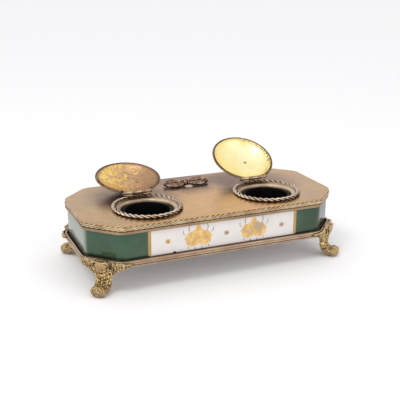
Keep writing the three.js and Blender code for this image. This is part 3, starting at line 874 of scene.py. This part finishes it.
# In millimetres from an ornament's centre, with their widths; the same on both sides.
ORNAMENT_THREADS = (
    (0.5, [(6.6, 5.4), (7.5, 8.0), (6.4, 11.2)]),
    (0.45, [(9.8, 3.6), (11.6, 5.2), (11.4, 7.6)]),
    (0.5, [(2.4, -6.2), (2.9, -7.2), (2.2, -8.2)]),
    (0.4, [(7.4, -5.2), (8.0, -6.2), (7.6, -7.2)]),
)


def ornament_threads(x):
    """Fine curved threads above and below the ornament."""
    return [
        stroke([(x + side * u * MM, ORNAMENT_Z + v * MM) for u, v in points], width * MM)
        for side in (-1, 1)
        for width, points in ORNAMENT_THREADS
    ]


def panel_border(side, start, end):
    """An upright line from `start` to `end` beyond the panel's edge."""
    near, far = side * (PANEL_HALF + start), side * (PANEL_HALF + end)
    bottom, top = PORCELAIN_LOW.z + 1 * MM, PORCELAIN_HIGH.z - 0.4 * MM
    return decal([(near, bottom), (far, bottom), (far, top), (near, top)])


def front_gilding():
    """Gilt lines at both ends of the white panel, two ornaments and three dots, with dark threads."""
    line_half, edge_width = 1.05 * MM, 0.4 * MM
    gilt, ink, fringe = [], [], []
    for side in (-1, 1):
        gilt.append(panel_border(side, -line_half, line_half))
        ink.append(panel_border(side, line_half, line_half + edge_width))
    for x in (PAINT_X - DOT_X, PAINT_X, PAINT_X + DOT_X):
        gilt.append(decal(blob((x, DOT_Z), 1.95 * MM, 1.7 * MM, 5, 0.2)))
        ink.append(decal(blob((x, DOT_Z), 0.7 * MM, 0.55 * MM), 0.1 * MM))
    for x in (PAINT_X - ORNAMENT_X, PAINT_X + ORNAMENT_X):
        gilt.append(decal(ornament_outline(x)))
        fringe.append(decal(ornament_outline(x, 0.45), 0.035 * MM))
        ink += [decal(shape) for shape in ornament_threads(x)]
    for name, parts, material in (
        ("front_gilding", gilt, gilt_paint()),
        ("front_gilt_fringe", fringe, thin_gilt()),
        ("front_fine_lines", ink, umber_paint()),
    ):
        build(name, merged(parts), material, smooth=False)


# ---------- wells ----------
def collar(side):
    """The rope-twist ring round a well."""
    low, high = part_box(f"{side}_collar")
    half_width, half_height = 1.75 * MM, (high.z - low.z) / 2
    path = circle_path(well_centre(side), (high.x - low.x) / 2 - half_width, 0.55 * MM)
    shape = twisted_wire(path, low.z + half_height, half_width, half_height, 9 * MM)
    build(f"{side}_collar_wire", shape, METALS["bronzed_wire"], f"{side}_collar")


def well_sleeve(side):
    """The sloping brass throat, with a rounded lip over the cup."""
    low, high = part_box(f"{side}_well_sleeve")
    outer, wall, lip = (high.x - low.x) / 2, 0.8 * MM, 0.5 * MM
    lip_z, shoulder_z, inner_foot = PLATE_TOP - 1 * MM, PLATE_TOP - 3 * MM, 18.3 * MM
    profile = [(outer, high.z - 0.9 * MM), (outer, high.z), (THROAT + 0.7 * MM, lip_z + 0.65 * MM)]
    profile += arc((THROAT + lip, lip_z), lip, 100, 180, 5)
    profile += [(THROAT, shoulder_z), (inner_foot, shoulder_z), (inner_foot, low.z)]
    profile += [(THROAT + wall, low.z), (THROAT + wall, lip_z - 0.4 * MM)]
    shape = turned(profile, well_centre(side))
    build(f"{side}_well_throat", shape, METALS["sleeve_brass"], f"{side}_well_sleeve")


def ink_cup(side, material):
    low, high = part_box(f"{side}_ink_cup")
    lip_outer, lip_bottom = (high.x - low.x) / 2, high.z - 1 * MM
    inner, floor_top = CUP_RADIUS - 1.7 * MM, low.z + 2.5 * MM
    foot, hollow, edge = 2 * MM, 3 * MM, 0.5 * MM  # radii of the rounded corners
    profile = [(0, low.z), (CUP_RADIUS - foot, low.z)]
    profile += arc((CUP_RADIUS - foot, low.z + foot), foot, -80, 0, 5)
    profile += [(CUP_RADIUS, lip_bottom), (lip_outer, lip_bottom)]
    profile += arc((lip_outer - edge, high.z - edge), edge, 0, 90, 4)
    profile += arc((inner + edge, high.z - edge), edge, 90, 180, 4)
    profile += arc((inner - hollow, floor_top + hollow), hollow, 0, -80, 6)
    profile += [(0, floor_top)]
    shape = turned(profile, well_centre(side), 96)
    build(f"{side}_ink_liner", shape, material, f"{side}_ink_cup")


# ---------- lids ----------
def lid_pose(side):
    """From the closed lid, with its hinge axis at the origin, to where it stands open."""
    joint = JOINTS[f"{side}_lid_hinge"]
    open_angle = radians(joint["range_deg"][1])
    return Matrix.Translation(Vector(joint["pos_m"])) @ Matrix.Rotation(-open_angle, 4, "X")


def dome_arc(radius, first, last, steps):
    """Points of the dome (distance from its axis, height), on a sphere that meets its edge at radius."""
    rise = LID_HEIGHT - LID_SKIRT
    sphere = (LID_RADIUS ** 2 + rise ** 2) / (2 * rise)
    centre = LID_BASE + LID_HEIGHT - sphere
    inner = sphere - (LID_RADIUS - radius)
    return [(float(d), centre + sqrt(inner ** 2 - d ** 2)) for d in np.linspace(first, last, steps)]


def cut_straight(piece, flat):
    """Cuts away what lies beyond y = flat and closes the cut."""
    shell = bmesh.new()
    shell.from_mesh(piece.data)
    geometry = shell.verts[:] + shell.edges[:] + shell.faces[:]
    bmesh.ops.bisect_plane(shell, geom=geometry, plane_co=(0, flat, 0), plane_no=(0, 1, 0), clear_outer=True)
    bmesh.ops.contextual_create(shell, geom=[edge for edge in shell.edges if edge.is_boundary])
    shell.to_mesh(piece.data)
    shell.free()
    return piece


def lid_dome(side):
    """The domed shell, cut straight beside its hinge, with its inside gilded."""
    inner, lip = LID_RADIUS - LID_WALL, LID_WALL / 2
    profile = dome_arc(inner, 0, inner, 20)
    profile += arc((LID_RADIUS - lip, LID_BASE + lip), lip, 180, 360, 6)
    profile += dome_arc(LID_RADIUS, 0, LID_RADIUS - 0.05 * MM, 20)[::-1]
    shape = turned(profile, (0, 0), 144)
    piece = add_mesh(f"{side}_lid_shell", *shape, METALS["lid_outside"])
    outward(cut_straight(piece, HINGE_REACH - KNUCKLE - HINGE_GAP))
    piece.data.materials.append(LID_INSIDES[side])
    for polygon in piece.data.polygons:
        middle = polygon.center
        if polygon.normal.z < 0 and hypot(middle.x, middle.y) < LID_RADIUS - 0.3 * MM:
            polygon.material_index = 1
    piece.matrix_world = lid_pose(side) @ Matrix.Translation((0, -HINGE_REACH, 0))
    assign(piece, f"{side}_lid", f"{side}_lid_dome")


def lid_rim(side):
    """The wire round a lid's edge, open where the hinge is."""
    half = 0.8 * MM
    radius = LID_RADIUS + 0.75 * MM
    opening = asin((HINGE_HALF + 1.2 * MM) / radius)
    path = circle_path((0, 0), radius, 0.5 * MM, opening, TAU - opening)
    shape = twisted_wire(path, LID_BASE + 0.6 * MM, half, half, 6 * MM, closed=False, strands=3)
    pose = lid_pose(side) @ Matrix.Translation((0, -HINGE_REACH, 0))
    body, node = f"{side}_lid", f"{side}_lid_rim"
    build(f"{side}_lid_edge_wire", shape, METALS["lid_edge"], node, body, pose)


def barrel(start, end):
    """A knuckle along X with slightly rounded ends."""
    edge, full = 0.2 * MM, KNUCKLE
    narrow = full - edge
    return turned_along_x([(start, narrow), (start + edge, full), (end - edge, full), (end, narrow)], 28)


def bar_across(outline, start, end):
    """A plate with its outline in (y, z), from start to end along X."""
    return loft([[(x, y, z) for y, z in outline] for x in (start, end)], False)


def hinge_knuckle(side, end):
    """An outer knuckle on the little foot that is soldered to the collar."""
    x, y, z = JOINTS[f"{side}_lid_hinge"]["pos_m"]
    node = f"{side}_hinge_knuckle_{end}"
    low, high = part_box(node)
    start, stop = low.x - x, high.x - x
    wide, narrow = 1.2 * MM, 0.9 * MM
    foot, neck = low.z - z, -0.6 * MM
    outline = [(-wide, foot), (wide, foot), (narrow, neck), (-narrow, neck)]
    plate_shape = bar_across(outline, start + HINGE_GAP, stop - HINGE_GAP)
    shape = merged([barrel(start, stop), plate_shape])
    piece = outward(add_mesh(f"{side}_hinge_barrel_{end}", *shape, METALS["hinge_brass"]))
    bevel(piece, 0.12 * MM)
    piece.matrix_world = Matrix.Translation((x, y, z))
    assign(piece, "stand", node)


def hinge_pin(side):
    """The pin with its riveted heads."""
    reach = HINGE_HALF + 0.8 * MM
    head = [(0, 0.5), (0.25, 1.0), (0.5, 1.1), (0.5, 0.6)]  # (distance from the end, radius), millimetres
    profile = [(-reach + x * MM, radius * MM) for x, radius in head]
    profile += [(-x, radius) for x, radius in profile[::-1]]
    pose = Matrix.Translation(JOINTS[f"{side}_lid_hinge"]["pos_m"])
    shape = turned_along_x(profile, 24)
    build(f"{side}_hinge_rivet", shape, METALS["dull_steel"], f"{side}_hinge_pin", pose=pose)


def lid_leaf(side):
    """The strap that follows the dome, and the middle knuckle."""
    start, end = 17 * MM, HINGE_REACH - KNUCKLE - HINGE_GAP
    outline = dome_arc(LID_RADIUS - 0.4 * MM, start, end, 8)
    outline += [(HINGE_REACH - 0.9 * MM, -0.5 * MM), (HINGE_REACH - 0.2 * MM, 1.2 * MM)]
    outline += dome_arc(LID_RADIUS + 0.35 * MM, start, end, 8)[::-1]
    outline = [(distance - HINGE_REACH, height) for distance, height in outline]
    half = MIDDLE_HALF - 0.1 * MM
    parts = [bar_across(outline, -half, half), barrel(-MIDDLE_HALF, MIDDLE_HALF)]
    piece = outward(add_mesh(f"{side}_lid_strap", *merged(parts), METALS["hinge_brass"]))
    bevel(piece, 0.12 * MM)
    piece.matrix_world = lid_pose(side)
    assign(piece, f"{side}_lid", f"{side}_lid_leaf")


# ---------- legs ----------
# Millimetres, in the leg's own frame: u outwards from the cut corner, t along it, z up.
LEG_OUTER = [
    (4.9, 23.6), (5.4, 22.6), (5.3, 20.5), (4.8, 17.6), (4.1, 14.6),
    (3.5, 11.6), (3.5, 9.4), (4.5, 7.6), (6.1, 6.6), (8, 6.2),
]
LEG_INNER = [
    (0.4, 24.9), (0.3, 22), (-1.0, 19.2), (-2.3, 17), (-2.8, 14.2),
    (-2.8, 11.4), (-2.4, 8.2), (-1.4, 5.0), (1.4, 2.0), (5.6, 0.5),
]
LEG_HALF_WIDTH = [5.7, 5.9, 6.1, 6.3, 6.3, 6.1, 5.9, 5.8, 5.6, 5.2]
LEAF_ROWS = 9
SHIELD_LOW, SHIELD_HIGH, SHIELD_HALF_WIDTH = 15.4, 24.2, 5.5
SHIELD_LEAN = 0.42  # how far it leans outwards for each unit of height
SHIELD_MIDDLE = (SHIELD_HIGH + SHIELD_LOW) / 2
TOE_U, TOE_Z, TOE_RADIUS, TOE_HALF_WIDTH = 8.5, 4.05, 3.85, 5.5
WING_LOW = [8.6, 11.6, 14.4, 16.6, 18.2, 19.4, 20.6, 22.0]  # lower edge, from the shaft to its tip
WING_TOP = 24.3
WING_START, WING_BACK, WING_REACH, WING_LOBES = 2.0, 1.0, 9.0, 7.5


def smooth_curve(values, steps):
    """Catmull-Rom through a list of numbers or points."""
    values = np.array(values, float)
    padded = np.concatenate([[2 * values[0] - values[1]], values, [2 * values[-1] - values[-2]]])
    result = []
    for position in np.linspace(0, len(values) - 1, steps):
        index = min(int(position), len(values) - 2)
        t = position - index
        a, b, c, d = padded[index:index + 4]
        result.append(b + 0.5 * t * (c - a + t * (2 * a - 5 * b + 4 * c - d + t * (3 * (b - c) + d - a))))
    return np.array(result)


def signed_power(value, power):
    return copysign(abs(value) ** power, value)


def leaf_relief(rows, across):
    """Height of the acanthus carving, 0 to 1: chevron rows of leaflets beside a middle rib."""
    side = abs(across)
    phase = rows + 1.25 * side
    row = floor(phase)
    crest = sin(pi * (phase - row)) ** 0.7
    leaflet = 0.5 + 0.5 * cos(TAU * 2.6 * side + pi * (row % 2))
    carving = 0.08 + 0.92 * crest * (0.4 + 0.6 * leaflet)
    rib = 0.85 * exp(-(across / 0.1) ** 2)
    groove_beside_rib = 0.8 * exp(-((side - 0.2) / 0.06) ** 2)
    return max(rib, carving * (1 - groove_beside_rib))


def leg_shaft():
    """The bent shaft, carved with leaf rows on its front."""
    rows, squareness = 130, 0.7
    outer, inner = smooth_curve(LEG_OUTER, rows), smooth_curve(LEG_INNER, rows)
    widths = smooth_curve(LEG_HALF_WIDTH, rows)
    rings = []
    for row in range(rows):
        along = row / (rows - 1)
        centre, thick = (outer[row] + inner[row]) / 2, (outer[row] - inner[row]) / 2
        half_thick = np.linalg.norm(thick)
        carved = ease(along, 0.02, 0.1)
        notch = 0.35 * abs(sin(pi * LEAF_ROWS * along)) * carved
        ring = []
        for angle in round_angles(120):
            c, s = cos(angle), sin(angle)
            across = signed_power(s, squareness)
            relief = (leaf_relief(LEAF_ROWS * along, across) - 0.6) * carved
            depth = half_thick * signed_power(c, squareness)
            depth += relief * ease(c, -0.5, 0.1) * max(abs(c), 0.3)
            u, z = centre + thick / half_thick * depth
            ring.append((u, (widths[row] + notch + 0.5 * relief * abs(s)) * across, z))
        rings.append(ring)
    return loft(rings, False)


def shield_half_width(z):
    return SHIELD_HALF_WIDTH * (0.5 + 0.5 * (z - SHIELD_LOW) / (SHIELD_HIGH - SHIELD_LOW))


def shield_face():
    """The plain tapering shield, lightly fluted, leaning outwards."""
    half_height = (SHIELD_HIGH - SHIELD_LOW) / 2
    flute_width, flute_depth, face_depth = 2.8, 0.2, 1.5

    def place(polar, angle):
        z = SHIELD_MIDDLE + half_height * sin(polar) * sin(angle)
        t = shield_half_width(z) * sin(polar) * cos(angle)
        depth = face_depth + flute_depth * cos(TAU * t / flute_width)
        return (4.2 + SHIELD_LEAN * (z - SHIELD_MIDDLE) - depth * cos(polar), t, z)

    return globe(place, 30, 48)


def shield_beads(side):
    beads = []
    for step in range(7):
        z = SHIELD_HIGH - 0.9 - step * 1.15
        u = 4.6 + 0.6 * SHIELD_LEAN * (z - SHIELD_MIDDLE)
        beads.append(ball((u, side * (shield_half_width(z) + 0.6), z), (0.75, 0.55, 0.5)))
    return beads


def shield_lip():
    """The rolled upper edge, thinning towards both ends."""
    half, sides, rings = 5.4, 14, []
    for step in range(25):
        t = -half + 2 * half * step / 24
        radius = 0.8 * (1 - (t / 6) ** 4)
        u = 5.7 - 0.03 * t * t
        rings.append([
            (u + radius * cos(angle), t, 24.0 + radius * 0.9 * sin(angle))
            for angle in round_angles(sides)
        ])
    return loft(rings, False)


def leg_shield():
    """The shield at the top of the leg, its beaded borders and its rolled lip between two buttons."""
    buttons = [ball((5.0, side * 5.6, 23.7), (1.2, 0.9, 1.05)) for side in (-1, 1)]
    backing = ball((2.2, 0, 23.5), (3.2, 5.4, 1.3), 16, 28)
    return [shield_face(), *shield_beads(-1), *shield_beads(1), shield_lip(), *buttons, backing]


def wing_depth(share, up):
    """How far a wing's leaf stands out, 0 to 1, along it and up it."""
    phase = WING_LOBES * share - 0.7 * up
    lobe = phase - floor(phase)
    crest = sin(pi * lobe) ** 0.7
    vein = 0.5 + 0.5 * cos(TAU * (3 * lobe + up))
    return 0.45 + 0.55 * crest * (0.72 + 0.28 * vein)


def leg_wing(side):
    """A leafy wing from the shaft round the corner and along the rail."""
    corner = CORNER_CUT / MM / sqrt(2)
    rows, columns = 110, 60
    low_points = smooth_curve(WING_LOW, rows)
    rings = []
    for row in range(rows):
        share = row / (rows - 1)
        distance = WING_START + (corner - WING_START + WING_REACH) * share
        top = WING_TOP - 1.7 * ease(distance, corner - 3, corner + WING_REACH)
        scallop = 0.8 * (0.5 - abs(sin(pi * WING_LOBES * share))) * (1 - 0.6 * share)
        low = min(low_points[row] + scallop, top - 0.3)
        bulge = (2.9 - 1.5 * share) * (1 - 0.6 * ease(share, 0.85, 1.0))
        turn = radians(45) * ease(distance, corner - 4.5, corner + 4.5)
        normal = np.array([cos(turn), sin(turn)])
        base = np.array([WING_BACK, min(distance, corner)])
        if distance > corner:
            base += (distance - corner) * np.array([-sin(pi / 4), cos(pi / 4)])
        ring = []
        for angle in round_angles(columns):
            height = (top + low) / 2 + (top - low) / 2 * signed_power(sin(angle), 0.8)
            depth = max(0, cos(angle)) ** 0.6 * bulge
            if depth > 0:
                depth *= wing_depth(share, (height - low) / max(top - low, 0.5))
            u, t = base + normal * depth
            ring.append((u, side * t, height))
        rings.append(ring)
    return loft(rings, False)


def leg_toe():
    """The scroll at the foot: a rolled leaf end with lobes round it and a button each side."""
    ground = 0.02

    def place(polar, angle):
        t = -TOE_HALF_WIDTH * cos(polar)
        leaf = leaf_relief(angle * 1.1, t / TOE_HALF_WIDTH)
        radius = (TOE_RADIUS + 0.85 * (leaf - 0.55)) * sin(polar) ** 0.55
        return (TOE_U + radius * cos(angle), t, max(TOE_Z + radius * sin(angle), ground))

    buttons = [ball((TOE_U, side * TOE_HALF_WIDTH * 0.92, TOE_Z), (1.7, 1.0, 1.7)) for side in (-1, 1)]
    return [globe(place, 56, 84), *buttons]


def leg_pad():
    """The flat block that the leg's screw holds against the rail."""
    outline = [(-8, 17.3), (1.4, 17.3), (1.4, 19.2), (-8, 19.2)]
    return loft([[(u, t, z) for u, z in outline] for t in (-5.3, 5.3)], False)


def chase(piece):
    """Cuts the fine leaf strokes into the casting, mirrored on both sides of its middle. The shield
    is left smooth and the toe is cut less deeply."""
    stroke_width, stroke_length, groove_depth = 1.9, 3.4, 0.55
    noise.seed_set(CHASING_SEED)
    mesh = piece.data
    normals = [Vector(corner.vector) for corner in mesh.vertex_normals]
    for vertex, normal in zip(mesh.vertices, normals):
        u, t, z = vertex.co / MM
        side = abs(t)
        spot = Vector((side / stroke_width, (z + 0.8 * side) / stroke_length, u / stroke_length))
        spot += 0.35 * noise.noise_vector(spot * 1.3)
        distances, _ = noise.voronoi(spot)
        groove = 1 - ease(distances[1] - distances[0], 0.04, 0.3)
        shield = ease(z, 15, 17) * ease(u, 3.8, 4.6) * ease(shield_half_width(z) + 0.3 - side, 0, 0.8)
        toe = ease(u, 4.5, 6.5) * ease(9.5 - z, 0, 1.5)
        vertex.co -= normal * groove * (1 - shield) * (1 - 0.45 * toe) * groove_depth * MM
    mesh.update()


def leg_casting():
    """One leg, its parts fused into one skin and chased."""
    points, faces = merged([leg_shaft(), leg_wing(-1), leg_wing(1), leg_pad(), *leg_shield(), *leg_toe()])
    piece = outward(add_mesh("leg_casting", np.array(points) * MM, faces, leg_gilding()))
    remesh = piece.modifiers.new("fuse", "REMESH")
    remesh.mode = "VOXEL"
    remesh.voxel_size = 0.26 * MM
    remesh.use_smooth_shade = True
    smooth = piece.modifiers.new("soften", "SMOOTH")
    smooth.factor = 0.3
    smooth.iterations = 1
    apply_modifiers(piece)
    chase(piece)
    piece.data.transform(Matrix.Rotation(LEG_TURN, 4, "Z"))
    for polygon in piece.data.polygons:
        polygon.use_smooth = True
    return piece


def legs():
    pattern = leg_casting()
    middle_x, middle_y = HALF_LENGTH - CORNER_CUT / 2, HALF_DEPTH - CORNER_CUT / 2
    for corner, (sign_x, sign_y) in CORNERS.items():
        piece = new_object(f"{corner}_acanthus_leg", pattern.data.copy())
        spot = Vector((sign_x * middle_x, sign_y * middle_y + CENTRE_Y, 0))
        if corner == "front_left":  # the founder's legs aren't set quite evenly
            spot += Vector((1, -1, 0)).normalized() * LEG_SLIP
        quarter_turns = Matrix.Rotation(atan2(sign_y, sign_x) - LEG_TURN, 4, "Z")
        piece.matrix_world = Matrix.Translation(spot) @ quarter_turns
        assign(piece, "stand", f"{corner}_leg")
    bpy.data.objects.remove(pattern)


# ---------- pen rest ----------
WIRE = 0.92 * MM  # radius of the bow's wires


def tube(path, radius, sides=14):
    """A round wire along a path of 3-D points, with closed ends."""
    rings = []
    for point, direction in zip(np.array(path), unit(np.gradient(path, axis=0))):
        sideways = np.cross(direction, np.array([0.0, 0.0, 1.0]))
        sideways /= np.linalg.norm(sideways)
        over = np.cross(sideways, direction)
        rings.append([
            point + radius * (cos(a) * sideways + sin(a) * over) for a in round_angles(sides)
        ])
    return loft(rings, False)


def ring_tube(path, radius, sides=12):
    """A round wire along a closed loop that lies across X."""
    path = np.array(path)
    across = np.array([1.0, 0.0, 0.0])
    rings = []
    for point, direction in zip(path, unit(np.roll(path, -1, axis=0) - np.roll(path, 1, axis=0))):
        over = np.cross(direction, across)
        rings.append([
            point + radius * (cos(a) * across + sin(a) * over) for a in round_angles(sides)
        ])
    return loft(rings, True)


def bow_wire(side, lane):
    """One wire of a loop, from the knot out and back; lane 0 is the innermost of three."""
    half_x, half_y = (5.0 + 1.75 * lane) * MM, (2.4 + 1.55 * lane) * MM
    lift, dip = (0.9 - 0.75 * abs(lane - 1)) * MM, 0.2 * MM  # the middle wire lies highest
    path = []
    for step in range(49):
        angle = -pi + 0.25 + (TAU - 0.5) * step / 48
        x = side * (9.6 * MM + half_x * cos(angle))
        pinch = 0.6 + 0.4 * min(1, abs(x) / (9 * MM))
        z = lift * (0.5 - 0.5 * cos(angle)) + dip * cos(angle)
        path.append((x, half_y * sin(angle) * pinch, z))
    return tube(path, WIRE if lane != 1 else WIRE * 0.75)


def knot_ring(side):
    """One of the two wires wound round the knot."""
    path = []
    for angle in round_angles(24):
        lean = side * 1.0 * MM + 0.9 * MM * side * sin(angle)
        path.append((lean, 2.7 * MM * cos(angle), 1.6 * MM * sin(angle)))
    return ring_tube(path, WIRE * 0.8)


def pen_rest():
    """A flat bow of bent wires, three to a loop, with a small knot, soldered to the plate."""
    low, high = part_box("pen_rest")
    floor_z, middle_z = PLATE_TOP + 0.05 * MM, PLATE_TOP + 2.0 * MM
    foot_x, foot_y = (low.x + high.x) / 2, (low.y + high.y) / 2
    centre = np.array([foot_x, foot_y, middle_z]) + np.array([-1.6 * MM, 1.2 * MM, 0])  # bent off its foot
    parts = [bow_wire(side, lane) for side in (-1, 1) for lane in (0, 1, 2)]
    parts += [knot_ring(-1), knot_ring(1), ball((0, 0, 0), (1.8 * MM, 1.9 * MM, 1.4 * MM))]
    points, faces = merged(parts)
    tilt = np.array(Matrix.Rotation(radians(9), 3, "X"))
    points = np.array(points) @ tilt.T + centre
    points[:, 2] = np.maximum(points[:, 2], floor_z)
    foot_profile = [(0, floor_z), (2.6 * MM, floor_z), (1.8 * MM, floor_z + 1 * MM), (0, middle_z)]
    foot = turned(foot_profile, (foot_x, foot_y), 40)
    shape = merged([(points, faces), foot])
    build("bow_pen_rest", shape, METALS["bow_bronze"], "pen_rest")
    # A pale patch on the plate in front of the bow's knot.
    place = (centre[0] + 0.6 * MM, centre[1] - 4.4 * MM, PLATE_TOP + 0.1 * MM)
    pale_patch_shape = ball(place, (3.7 * MM, 3.6 * MM, 0.8 * MM), 16, 32)
    build("bow_pale_patch", pale_patch_shape, METALS["pale_patch"])


# ---------- camera, light and floor ----------
def camera():
    """The view: from the front left, a little above, with a long lens."""
    azimuth, elevation, roll = radians(23.494), radians(18.39), radians(-0.362)
    target = Vector((-0.8 * MM, CENTRE_Y - 1.5 * MM, 45.1 * MM))
    distance = 565.04 * MM
    level = cos(elevation)
    forward = Vector((sin(azimuth) * level, cos(azimuth) * level, -sin(elevation)))
    data = bpy.data.cameras.new("camera")
    data.lens = 66.456
    data.sensor_width = 36
    data.clip_start = 0.01
    eye = new_object("camera", data)
    look = forward.to_track_quat("-Z", "Y").to_matrix().to_4x4()
    eye.matrix_world = Matrix.Translation(target - forward * distance) @ look @ Matrix.Rotation(-roll, 4, "Z")
    bpy.context.scene.camera = eye


def area_light(name, place, size, power):
    """A round soft light, aimed at the middle of the object."""
    data = bpy.data.lights.new(name, "AREA")
    data.shape = "DISK"
    data.size = size
    data.energy = power
    object_middle = Vector((0, 0, 0.03))
    direction = object_middle - Vector(place)
    aim = direction.to_track_quat("-Z", "Y").to_matrix().to_4x4()
    new_object(name, data).matrix_world = Matrix.Translation(place) @ aim


def studio():
    world = bpy.data.worlds.new("studio")
    world.use_nodes = True
    background = world.node_tree.nodes["Background"]
    background.inputs["Color"].default_value = (1.0, 1.0, 1.0, 1.0)
    background.inputs["Strength"].default_value = 0.96
    bpy.context.scene.world = world
    area_light("key", (-0.55, -0.35, 0.9), 0.35, 2.4)
    area_light("fill", (0.5, -0.8, 0.6), 0.4, 0.8)
    bpy.context.scene.view_settings.view_transform = "Standard"


def studio_floor():
    half = 4.0  # metres
    points = [(-half, -half, 0), (half, -half, 0), (half, half, 0), (-half, half, 0)]
    ground = add_mesh("floor", points, [(0, 1, 2, 3)], pale_floor(), smooth=False)
    ground.location.z = -0.02 * MM


camera()
studio()
studio_floor()
give("base_plate", METALS["tinned_underside"])
give("pen_rest_screw", METALS["dull_steel"])
for corner_name in CORNERS:
    for fastener in ("leg_screw", "tie_rod", "tie_nut"):
        give(f"{corner_name}_{fastener}", METALS["dull_steel"])
plate()
rope_rim()
rim_band()
porcelain()
base_rail()
dark_gap_band()
front_gilding()
legs()
pen_rest()
ink = ink_and_shade_black()
for side_name in SIDES:
    collar(side_name)
    well_sleeve(side_name)
    ink_cup(side_name, ink)
    lid_dome(side_name)
    lid_rim(side_name)
    lid_leaf(side_name)
    hinge_knuckle(side_name, "left")
    hinge_knuckle(side_name, "right")
    hinge_pin(side_name)

bpy.context.view_layer.update()
